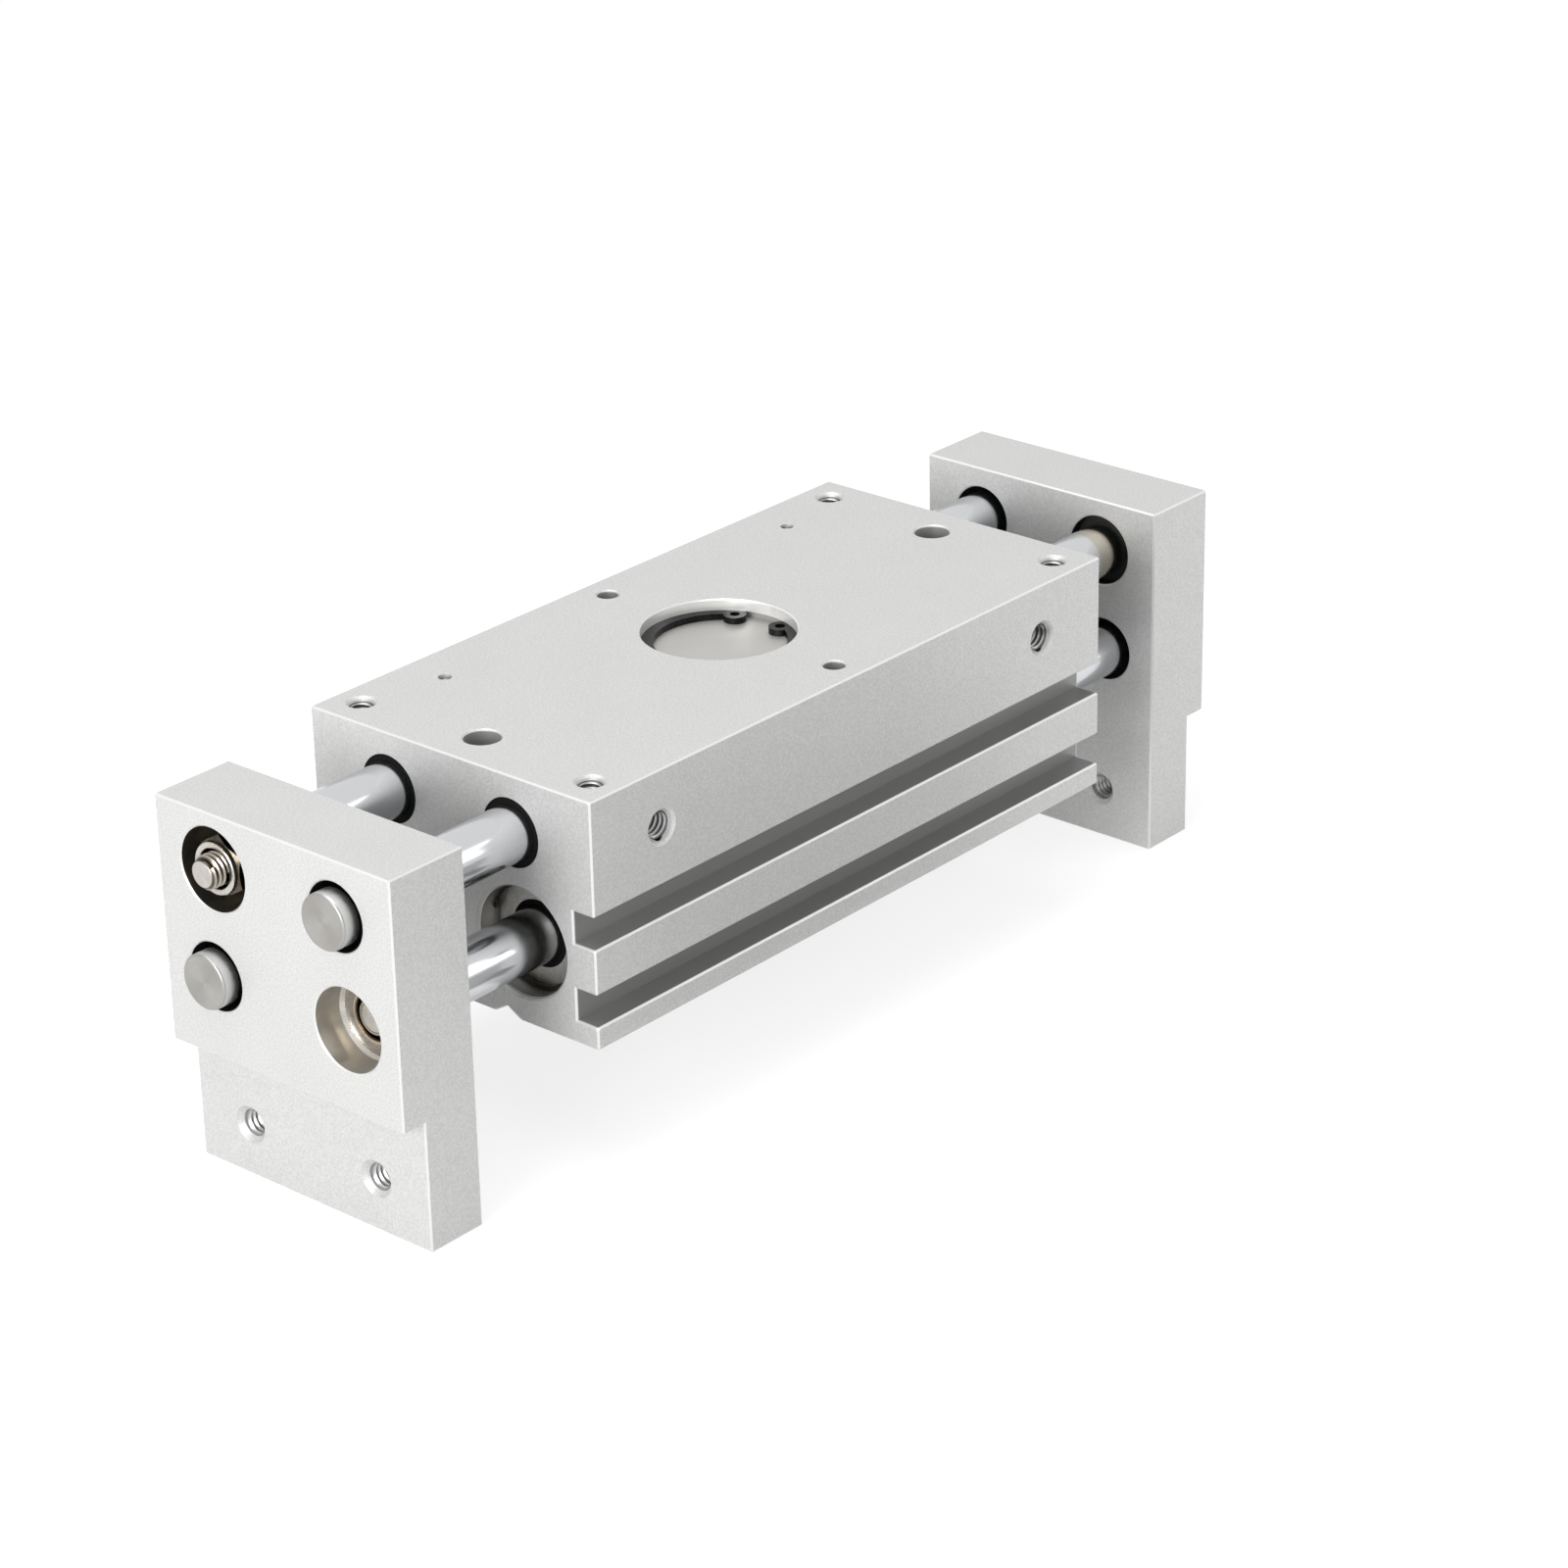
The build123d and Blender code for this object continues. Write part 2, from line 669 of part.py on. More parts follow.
# Rod covers with their bushes, seals, gaskets and retaining rings, and the rack bushes
gaskets = []
for end, end_name in ((-1, "left"), (1, "right")):
    for side, side_name in ((-1, "front"), (1, "back")):
        place = f"{end_name}_{side_name}"
        cylinder_line = (side * piston_offset_y, piston_z)
        rack_bore_line = (side * rack_offset_y, rack_z)
        cover_radius = bore_radius - static_gap
        gasket_x = cover_inner_x + gasket_station
        seal_inner_x = cover_outer_x - seal_lip_length - seal_width
        bush_inner_x = seal_inner_x - cover_bush_length
        cover_outline = [
            (cover_inner_x, rod_hole_radius + rack_bore_gap),
            (bush_inner_x, rod_hole_radius + rack_bore_gap),
            (bush_inner_x, cover_bush_radius + static_gap),
            (seal_inner_x, cover_bush_radius + static_gap),
            (seal_inner_x, seal_diameter / 2 + static_gap),
            (seal_inner_x + seal_width, seal_diameter / 2 + static_gap),
            (seal_inner_x + seal_width, seal_lip_diameter / 2 + static_gap),
            (cover_outer_x, seal_lip_diameter / 2 + static_gap),
            (cover_outer_x, cover_radius),
            (gasket_x + gasket_width, cover_radius),
            (gasket_x + gasket_width, cover_radius - gasket_thickness),
            (gasket_x, cover_radius - gasket_thickness),
            (gasket_x, cover_radius),
            (cover_inner_x, cover_radius),
        ]
        seal_outline = [
            (seal_inner_x, rod_hole_radius),
            (cover_outer_x, rod_hole_radius),
            (cover_outer_x, seal_lip_diameter / 2),
            (seal_inner_x + seal_width, seal_lip_diameter / 2),
            (seal_inner_x + seal_width, seal_diameter / 2),
            (seal_inner_x, seal_diameter / 2),
        ]
        cover = lathe([(end * x, radius) for x, radius in cover_outline], cylinder_line)
        export_piece(cover, f"rod_cover_{place}")
        seal = lathe([(end * x, radius) for x, radius in seal_outline], cylinder_line)
        export_piece(seal, f"rod_seal_{place}")
        bush = ring(
            end * bush_inner_x,
            end * seal_inner_x,
            cover_bush_radius,
            rod_hole_radius,
            cylinder_line,
        )
        export_piece(bush, f"rod_bush_{place}")
        gaskets.append(
            ring(
                end * gasket_x,
                end * (gasket_x + gasket_width),
                cover_radius,
                cover_radius - gasket_thickness,
                cylinder_line,
            )
        )
        ring_start = cover_outer_x + static_gap
        ring_plane = Plane(
            origin=(end * ring_start, side * piston_offset_y, piston_z),
            x_dir=(0, -side, 0),
            z_dir=(end, 0, 0),
        )
        spring_ring = retaining_ring(
            ring_plane,
            bore_radius + ring_groove_depth - static_gap,
            cover_ring_width,
            cover_ring_thickness,
            cover_ring_gap_angle,
        )
        export_piece(spring_ring, f"cover_ring_{place}")
        bush = ring(
            end * rack_bush_inner_x,
            end * scraper_inner_x,
            rack_bush_diameter / 2 - static_gap,
            rod_hole_radius,
            rack_bore_line,
        )
        export_piece(bush, f"rack_bush_{place}")
        scraper = ring(
            end * scraper_inner_x,
            end * scraper_outer_x,
            rack_bush_diameter / 2 - static_gap,
            rod_hole_radius,
            rack_bore_line,
        )
        export_piece(scraper, f"rack_scraper_{place}")
export_piece(group(gaskets), "cover_gaskets")

# Rubber bumpers that stop the pistons when the gripper is fully open
bumper_radius = bore_radius - bumper_bore_gap
left_bumper = ring(
    -cover_inner_x, -bumper_x, bumper_radius, bumper_radius - bumper_wall, piston_line
)
right_bumper = ring(
    cover_inner_x, bumper_x, bumper_radius, bumper_radius - bumper_wall, other_piston_line
)
export_piece(group([left_bumper, right_bumper]), "bumpers")

# The two jaws: the left one, and the same one turned half round
piston_outer = bore_radius - piston_gap
seal_from = piston_length / 2 - piston_seal_inset - piston_seal_width
stud_hole_radius = m8_outer / 2 + static_gap
piston_nut = lathe(
    [
        (-pocket_floor_x, stud_hole_radius),
        (-piston_nut_end_x + piston_nut_edge_chamfer, stud_hole_radius),
        (-piston_nut_end_x, stud_hole_radius + piston_nut_edge_chamfer),
        (-piston_nut_end_x, piston_nut_collar_diameter / 2 - piston_nut_edge_chamfer),
        (-piston_nut_end_x + piston_nut_edge_chamfer, piston_nut_collar_diameter / 2),
        (-piston_nut_face_x, piston_nut_collar_diameter / 2),
        (-piston_nut_face_x, piston_nut_flange_diameter / 2),
        (-piston_nut_seat_x, piston_nut_flange_diameter / 2),
        (-piston_nut_seat_x, piston_nut_sleeve_diameter / 2),
        (-pocket_floor_x, piston_nut_sleeve_diameter / 2),
    ],
    piston_line,
)
joint_washers = group(
    [
        ring(
            -pocket_floor_x,
            -rod_shoulder_x,
            rack_pocket_diameter / 2 - running_gap,
            m6_outer / 2 + static_gap,
            rack_line,
        ),
        ring(
            -pocket_floor_x,
            -rod_shoulder_x,
            piston_pocket_diameter / 2 - running_gap,
            stud_hole_radius,
            piston_line,
        ),
        ring(
            -nut_seat_x,
            -nut_seat_x - spring_washer_thickness,
            nut_pocket_diameter / 2 - spring_washer_inset,
            m6_outer / 2 + static_gap,
            rack_line,
        ),
        ring(
            -nut_seat_x,
            -piston_nut_seat_x,
            piston_nut_flange_diameter / 2,
            piston_nut_sleeve_diameter / 2 + running_gap,
            piston_line,
        ),
    ]
)
piston_seals = group(
    ring(
        piston_centre_x + side * seal_from,
        piston_centre_x + side * (seal_from + piston_seal_width),
        bore_radius - running_gap,
        piston_outer - piston_seal_depth,
        piston_line,
    )
    for side in (-1, 1)
)
wear_ring = ring(
    piston_centre_x + wear_ring_start,
    piston_centre_x + wear_ring_start + wear_ring_width,
    bore_radius - running_gap,
    piston_outer - wear_ring_thickness,
    piston_line,
)
magnet = ring(
    piston_centre_x - magnet_width,
    piston_centre_x,
    piston_outer - magnet_inset,
    piston_outer - magnet_inset - magnet_thickness,
    piston_line,
)
piston_clips = group(
    ring(
        piston_centre_x + side * piston_length / 2,
        piston_centre_x + side * (piston_length / 2 + clip_thickness),
        clip_diameter / 2,
        rod_radius - clip_groove_depth,
        piston_line,
    )
    for side in (-1, 1)
)
jaw_pieces = {
    "finger": make_finger(),
    "rack_rod": make_rack_rod(),
    "piston_rod": make_piston_rod(),
    "piston": make_piston(),
    "piston_seals": piston_seals,
    "wear_ring": wear_ring,
    "magnet": magnet,
    "piston_clips": piston_clips,
    "rack_nut": make_rack_nut(),
    "piston_nut": piston_nut,
    "joint_washers": joint_washers,
}
for piece_name, piece in jaw_pieces.items():
    export_piece(piece, f"{piece_name}_left")
    export_turned(piece, f"{piece_name}_right")
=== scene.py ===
"""Looks for a wide opening pneumatic gripper.

Finishes on the machined pieces, threads, lock nuts, finely spun rods, camera and studio.
"""

from math import cos, pi, radians, sin, tau

import bmesh
import bpy
from mathutils import Matrix, Vector


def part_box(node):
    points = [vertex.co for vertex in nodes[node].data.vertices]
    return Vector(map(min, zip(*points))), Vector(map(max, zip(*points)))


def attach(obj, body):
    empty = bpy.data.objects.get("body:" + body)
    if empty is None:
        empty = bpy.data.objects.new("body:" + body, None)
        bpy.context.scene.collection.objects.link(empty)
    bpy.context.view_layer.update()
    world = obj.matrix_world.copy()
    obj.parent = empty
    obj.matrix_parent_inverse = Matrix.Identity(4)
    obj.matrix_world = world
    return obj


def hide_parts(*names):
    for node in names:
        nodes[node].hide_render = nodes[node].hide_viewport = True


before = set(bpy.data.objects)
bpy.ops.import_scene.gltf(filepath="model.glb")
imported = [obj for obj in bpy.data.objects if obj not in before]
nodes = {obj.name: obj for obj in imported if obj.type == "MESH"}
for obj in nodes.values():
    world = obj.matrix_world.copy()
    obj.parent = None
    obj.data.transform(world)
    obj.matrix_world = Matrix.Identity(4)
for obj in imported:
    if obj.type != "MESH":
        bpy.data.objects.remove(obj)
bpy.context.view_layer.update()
MM = 0.001
JAWS = (("left", -1), ("right", 1))

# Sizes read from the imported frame

body_low, body_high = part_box("body_block")
finger_low, finger_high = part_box("finger_right")
half_length = body_high.x
half_width = body_high.y
top_z = body_high.z
base_z = body_low.z
finger_outer_x = finger_high.x
finger_inner_x = finger_low.x
rack_low, rack_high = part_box("rack_rod_left")
piston_low, piston_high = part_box("piston_rod_left")
rack_y = (rack_low.y + rack_high.y) / 2
rack_z = (rack_low.z + rack_high.z) / 2
piston_y = (piston_low.y + piston_high.y) / 2
piston_z = (piston_low.z + piston_high.z) / 2
rod_end_x = rack_high.x
rod_radius = (rack_high.z - rack_low.z) / 2
nut_end_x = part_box("rack_nut_right")[1].x
window_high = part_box("pinion_cover")[1]
window_radius = window_high.x
RACK_LINE = (rack_y, rack_z)
PISTON_LINE = (piston_y, piston_z)


# Shader building

class Num:
    """A number that varies over a surface; Python's operators add its Math nodes."""

    def __init__(self, graph, socket):
        self.graph, self.socket = graph, socket

    def math(self, operation, *others, clamp=False):
        node = self.graph.node(
            "ShaderNodeMath",
            {"operation": operation, "use_clamp": clamp},
            dict(enumerate((self, *others))),
        )
        return Num(self.graph, node.outputs[0])

    def __add__(self, other):
        return self.math("ADD", other)

    def __sub__(self, other):
        return self.math("SUBTRACT", other)

    def __rsub__(self, other):
        return (self * -1) + other

    def __mul__(self, other):
        return self.math("MULTIPLY", other)

    def __truediv__(self, other):
        return self.math("DIVIDE", other)

    def __pow__(self, other):
        return self.math("POWER", other)

    def __lt__(self, other):
        return self.math("LESS_THAN", other)

    def __gt__(self, other):
        return self.math("GREATER_THAN", other)

    def __abs__(self):
        return self.math("ABSOLUTE")

    __radd__, __rmul__ = __add__, __mul__


class Graph:
    """A node tree and the one method that adds its nodes."""

    def __init__(self, tree):
        self.tree = tree

    def node(self, kind, settings=None, inputs=None):
        """Add a node, its settings first, then the values or links of its sockets."""
        node = self.tree.nodes.new(kind)
        for key, value in (settings or {}).items():
            setattr(node, key, value)
        for key, value in (inputs or {}).items():
            self.join(node.inputs[key], value)
        return node

    def join(self, socket, value):
        if isinstance(value, Num):
            value = value.socket
        if isinstance(value, bpy.types.NodeSocket):
            self.tree.links.new(value, socket)
        elif isinstance(value, tuple) and len(value) == 3 and socket.type == "RGBA":
            socket.default_value = (*value, 1.0)
        else:
            socket.default_value = value

    def white_to_the_eye(self, seen, lit, output):
        """Show one shader to the camera, mirrors and glass, and another to everything else."""
        rays = self.node("ShaderNodeLightPath").outputs
        mirrored, through, direct = (
            Num(self, rays[f"Is {kind} Ray"]) for kind in ("Glossy", "Transmission", "Camera")
        )
        any_of_them = mirrored.math("ADD", through, clamp=True).math("ADD", direct, clamp=True)
        mix = self.node("ShaderNodeMixShader", inputs={0: any_of_them, 1: lit, 2: seen})
        self.join(self.tree.nodes[output].inputs["Surface"], mix.outputs[0])


class Finish(Graph):
    """One material: a Principled shader and the nodes that vary it."""

    def __init__(self, name, **values):
        self.material = bpy.data.materials.new(name)
        self.material.use_nodes = True
        super().__init__(self.material.node_tree)
        self.shader = self.tree.nodes["Principled BSDF"]
        self.set(**values)
        coordinates = self.node("ShaderNodeTexCoord")
        self.place = coordinates.outputs["Object"]
        self.x, self.y, self.z = self.parts(self.place)
        self.facing = [abs(part) for part in self.parts(coordinates.outputs["Normal"])]

    def set(self, **values):
        for key, value in values.items():
            self.join(self.shader.inputs[key.replace("_", " ")], value)

    def parts(self, vector):
        split = self.node("ShaderNodeSeparateXYZ", inputs={"Vector": vector})
        return [Num(self, output) for output in split.outputs]

    def noise(self, size, detail, stretch=(1, 1, 1)):
        """Noise with grains of about this size in metres, from 0 to 1."""
        place = self.node("ShaderNodeMapping", inputs={"Vector": self.place, "Scale": stretch})
        noise = self.node(
            "ShaderNodeTexNoise",
            inputs={"Vector": place.outputs[0], "Scale": 1 / size, "Detail": detail},
        )
        return Num(self, noise.outputs[0])

    def mix(self, share, first, second):
        """A colour between two colours."""
        mix = self.node(
            "ShaderNodeMix", {"data_type": "RGBA"}, {"Factor": share, 6: first, 7: second}
        )
        return mix.outputs[2]

    def across(self, share, first, second):
        """A number between two numbers."""
        return share * (second - first) + first

    def soft_step(self, value, start, end):
        """0 below start, 1 above end."""
        step = self.node(
            "ShaderNodeMapRange",
            {"interpolation_type": "SMOOTHSTEP"},
            {"Value": value, "From Min": start, "From Max": end},
        )
        return Num(self, step.outputs[0])

    def bump(self, height, distance, strength):
        bump = self.node(
            "ShaderNodeBump",
            inputs={"Height": height, "Distance": distance, "Strength": strength},
        )
        self.set(Normal=bump.outputs[0])

    def reach(self, first, second):
        """Distance from an axis, given the two coordinates measured from it."""
        return (first * first + second * second) ** 0.5

    def rings(self, radius, pitch):
        """Turning marks: rings round an axis, from 0 to 1."""
        return (radius * (tau / pitch)).math("SINE") * 0.5 + 0.5

    def edges(self):
        """1 on surfaces that face between the main directions, such as chamfers."""
        across, along, up = self.facing
        largest = across.math("MAXIMUM", along).math("MAXIMUM", up)
        return 1 - self.soft_step(largest, 0.9, 0.97)

    def line_distance(self, line):
        """Distance from a rod's line, given as (y, z), on either side of the middle."""
        return self.reach(abs(self.y) - abs(line[0]), self.z - line[1])


# Colours; a pair runs from its darker tone to its lighter one

ANODISED = (0.455, 0.455, 0.451), (0.565, 0.565, 0.559)
# Cut edges: bare machined metal, painted lighter as a highlight
CUT_EDGE_HIGHLIGHT = (0.63, 0.63, 0.625)
# Greys painted as shade inside the housing's recesses and slots
RECESS_SHADE_GREY = (0.40, 0.40, 0.395)
SLOT_SHADE_GREY = (0.25, 0.25, 0.247)
# Black painted as shade inside holes and gaps round the rods
HOLE_SHADE_BLACK = (0.012, 0.012, 0.012)
# Dark brown painted as shadow in the gaps round the studs
BROWN_GAP_SHADOW = (0.035, 0.022, 0.012)
TURNED_BORE = (0.17, 0.155, 0.12), (0.40, 0.38, 0.33)
WINDOW_WALL = (0.80, 0.80, 0.78)
# Pocket walls: one machined metal, a copy painted dark as shade and a copy painted light as lit
OLIVE_POCKET_SHADE = (0.16, 0.143, 0.115), (0.36, 0.335, 0.285)
LIT_BEIGE_POCKET = (0.58, 0.562, 0.525), (0.69, 0.675, 0.64)
# A painted highlight on the pocket's seat
POCKET_SEAT_HIGHLIGHT = (0.86, 0.85, 0.825)
CHROME = (0.57, 0.582, 0.60), (0.66, 0.67, 0.685)
BEIGE_BAND = (0.56, 0.525, 0.455)
# Turned rod end: most of its spread between these tones is a painted sheen
TURNED_END = (0.27, 0.26, 0.243), (0.47, 0.457, 0.435)
# Painted shade on the end's rounded rim, so that it doesn't read as a highlight
END_RIM_SHADE = (0.36, 0.36, 0.355)
END_WALL = (0.62, 0.62, 0.612)
STUD_TIP = (0.42, 0.395, 0.36), (0.60, 0.575, 0.54)
# Stud thread: painted shade in the roots, painted highlight on the crests
STUD_THREAD_SHADING = (0.08, 0.068, 0.053), (0.40, 0.37, 0.325)
RUBBER = (0.004, 0.004, 0.004), (0.012, 0.012, 0.0115)
FLANGE = (0.24, 0.22, 0.195), (0.38, 0.355, 0.32)
# Flange nut collar: dark brown inside, a painted golden highlight towards its edge
FLANGE_COLLAR_GLINT = (0.30, 0.22, 0.15), (0.86, 0.76, 0.60)
WASHER = (0.30, 0.27, 0.23), (0.46, 0.42, 0.37)
DISC = (0.42, 0.41, 0.392), (0.50, 0.488, 0.468)
# Lock nut hex, deep in its pocket: painted shade makes it dark brown
NUT_HEX_SHADE = (0.045, 0.036, 0.026), (0.12, 0.10, 0.078)
NUT_COLLAR = (0.44, 0.415, 0.37), (0.58, 0.555, 0.505)
BRONZE = (0.42, 0.24, 0.11), (0.58, 0.37, 0.19)
SPRING_STEEL = (0.010, 0.010, 0.010), (0.030, 0.030, 0.031)
SNAP_STEEL = (0.035, 0.032, 0.024), (0.085, 0.078, 0.060)
HARDENED = (0.34, 0.34, 0.35), (0.48, 0.48, 0.49)
TURNED_COVER = (0.46, 0.45, 0.42), (0.62, 0.61, 0.58)
ACETAL = (0.70, 0.69, 0.64), (0.80, 0.79, 0.74)
FERRITE = (0.05, 0.05, 0.052), (0.09, 0.09, 0.095)


# Finishes

CHAMFER = 0.34 * MM
BLAST_GRAIN, BLAST_BUMP = 0.36 * MM, 0.052 * MM
BARE_METAL = 0.95


class Blasted(Finish):
    """Clear anodised aluminium, bead blasted: fine grain, and thin cut edges of bare metal painted
    lighter still as a highlight.
    """

    def __init__(self, name, low, high):
        super().__init__(name, IOR=1.5)
        self.metal = 0.5
        self.grain = self.height = self.noise(BLAST_GRAIN, 4.0)
        cloud = self.noise(14 * MM, 2.0)
        speckle = self.soft_step(self.grain, 0.36, 0.64) * 0.75 + cloud * 0.25
        self.colour = self.mix(speckle, *ANODISED)
        self.rough = self.grain * 0.14 + 0.46
        centre, half = (low + high) / 2, (high - low) / 2
        self.near = [
            size - abs(place - middle) < CHAMFER
            for place, middle, size in zip((abs(self.x), self.y, self.z), centre, half)
        ]

    def cut(self, where):
        """Paint the cut edges in a region, given as a mask: bare metal, lightened as a painted
        highlight.
        """
        edge = (self.edges() * where).math("MINIMUM", 1.0)
        self.paint(edge, CUT_EDGE_HIGHLIGHT, 0.3)

    def paint(self, mask, colour, rough, metal=None):
        """Give a region its own colour and a smooth surface: a machined finish, or painted shade
        or highlight where the caller says so.
        """
        if metal is not None:
            self.metal = self.across(mask, self.metal, metal)
        self.colour = self.mix(mask, self.colour, colour)
        self.rough = self.across(mask, self.rough, rough)
        self.height = self.across(mask, self.height, 0.5)

    def done(self):
        self.set(Base_Color=self.colour, Roughness=self.rough, Metallic=self.metal)
        self.bump(self.height, BLAST_BUMP, 0.8)
        return self.material


SLOT_DEPTH = 5.2 * MM
SLOTS_START, SLOTS_END = 3.8 * MM, 24.9 * MM
GROOVE_HEIGHT = 4.0 * MM
END_SKIN, SIDE_SKIN = 0.5 * MM, 0.45 * MM
CYLINDER_MOUTH_RADIUS, RACK_BORE_RADIUS = 10.2 * MM, 6.35 * MM
WINDOW_CHAMFER, WINDOW_DEPTH = 0.28 * MM, 0.5 * MM


def body_finish():
    """The housing; what lies inside its skin is a bore, a slot or a groove."""
    body = Blasted("anodised_housing", body_low, body_high)
    end, side, flat = body.near
    slots = (
        (body.y < -half_width + SLOT_DEPTH)
        * (body.z > base_z + SLOTS_START)
        * (body.z < base_z + SLOTS_END)
    )
    # Painted highlight on the cut edges of the ends, sides and slots
    body.cut(end * side + end * flat + side * flat + (end + side) * slots)
    turning = body.noise(2.4 * MM, 1.0, (4, 0.3, 0.3))
    wall = body.mix(body.soft_step(turning, 0.35, 0.65), *TURNED_BORE)
    body.paint(body.line_distance(PISTON_LINE) < CYLINDER_MOUTH_RADIUS, wall, 0.3, 0.9)
    # Painted shade: what lies inside the housing's skin is painted darker grey, the slots darkest
    inside = (
        (abs(body.x) < half_length - END_SKIN)
        * (abs(body.y) < half_width - SIDE_SKIN)
        * (body.z < top_z - SIDE_SKIN)
        * (body.z > base_z + GROOVE_HEIGHT)
    )
    body.paint(inside, body.mix(slots, RECESS_SHADE_GREY, SLOT_SHADE_GREY), 0.34)
    # Painted shade: the rack bores' walls are painted black
    rack_bore_shade = (body.line_distance(RACK_LINE) < RACK_BORE_RADIUS) * (body.facing[0] < 0.5)
    body.paint(rack_bore_shade, HOLE_SHADE_BLACK, 0.5)
    window = (body.reach(body.x, body.y) < window_radius + WINDOW_CHAMFER) * (
        body.z > window_high.z - WINDOW_DEPTH
    )
    body.paint(window * (body.facing[2] < 0.3), WINDOW_WALL, 0.28)
    # Painted highlight on the window's mouth chamfer
    body.paint(window * (abs(body.facing[2] - 0.7) < 0.2), CUT_EDGE_HIGHLIGHT, 0.25)
    return body.done()


FINGER_FOOT = 12 * MM
FINGER_HOLE_Y, FINGER_HOLE_Z, FINGER_HOLE_MOUTH = 15 * MM, 9.7 * MM, 3.7 * MM
POCKET_ZONE_DEPTH, POCKET_FLOOR_DEPTH = 9.5 * MM, 9 * MM
POCKET_ZONE_RADIUS = 7.65 * MM
SEAT_RADIUS, SEAT_START, SEAT_END = 7.57 * MM, 5.6 * MM, 6.8 * MM
RACK_RING_RADIUS, ROD_RING_RADIUS = 6.82 * MM, 6.22 * MM


def finger_finish():
    """A finger; its own rods end in two pockets, the other jaw's rods pass through it."""
    finger = Blasted("anodised_finger", finger_low, finger_high)
    end, side, flat = finger.near
    offset, depth = abs(finger.x) - finger_inner_x, finger_outer_x - abs(finger.x)
    foot = (abs(offset - FINGER_FOOT) < CHAMFER) * (finger.z < base_z)
    hole_distance = finger.reach(abs(finger.y) - FINGER_HOLE_Y, finger.z - FINGER_HOLE_Z)
    foot_hole = hole_distance < FINGER_HOLE_MOUTH
    # Painted highlight on the finger's cut edges, except round the foot holes
    finger.cut((end + foot + side * flat) * (1 - foot_hole))
    jaw = finger.x.math("SIGN")
    rack, other_rack, piston, other_piston = (
        finger.reach(finger.y + jaw * way * y, finger.z - z)
        for y, z in (RACK_LINE, PISTON_LINE)
        for way in (1, -1)
    )
    outside = depth < POCKET_ZONE_DEPTH
    # Painted shade: the walls of the holes round the rods are painted black, in the own rods'
    # pockets only on their inner part
    for distance, radius, where in (
        (rack, RACK_RING_RADIUS, 1 - outside),
        (piston, ROD_RING_RADIUS, 1 - outside),
        (other_rack, ROD_RING_RADIUS, 1),
        (other_piston, ROD_RING_RADIUS, 1),
    ):
        finger.paint((distance < radius) * where, HOLE_SHADE_BLACK, 0.5)
    wall = (finger.facing[0] < 0.3) + (depth > POCKET_FLOOR_DEPTH)
    smudge = finger.noise(3 * MM, 2.0, (0.5, 1, 1))
    # The two pockets are one machined metal: painted shade makes the rack pocket dark olive,
    # painted light makes the piston pocket pale beige
    olive_shade = finger.mix(smudge, *OLIVE_POCKET_SHADE)
    lit_beige = finger.mix(finger.soft_step(smudge, 0.25, 0.75), *LIT_BEIGE_POCKET)
    finger.paint((rack < POCKET_ZONE_RADIUS) * outside * wall, olive_shade, 0.3, BARE_METAL)
    finger.paint((piston < POCKET_ZONE_RADIUS) * outside * wall, lit_beige, 0.3, BARE_METAL)
    # Painted highlight: the seat's cone in the piston pocket is painted near white
    seat = (piston < SEAT_RADIUS) * (depth > SEAT_START) * (depth < SEAT_END)
    finger.paint(seat, POCKET_SEAT_HIGHLIGHT, 0.26, BARE_METAL)
    return finger.done()


STUD_ZONE_RADIUS, STUD_ZONE_START = 4.4 * MM, 3 * MM
TURNED_LENGTH, END_RIM_RADIUS = 3.3 * MM, 4.55 * MM
BAND_START, BAND_WIDTH = 0.7 * MM, 5.1 * MM
STUD_TIP_RADIUS = 2.6 * MM
STUD_ROOT, STUD_CREST = 2.58 * MM, 2.9 * MM
STUD_GAP_START, STUD_GAP_END = 3.05 * MM, 3.3 * MM


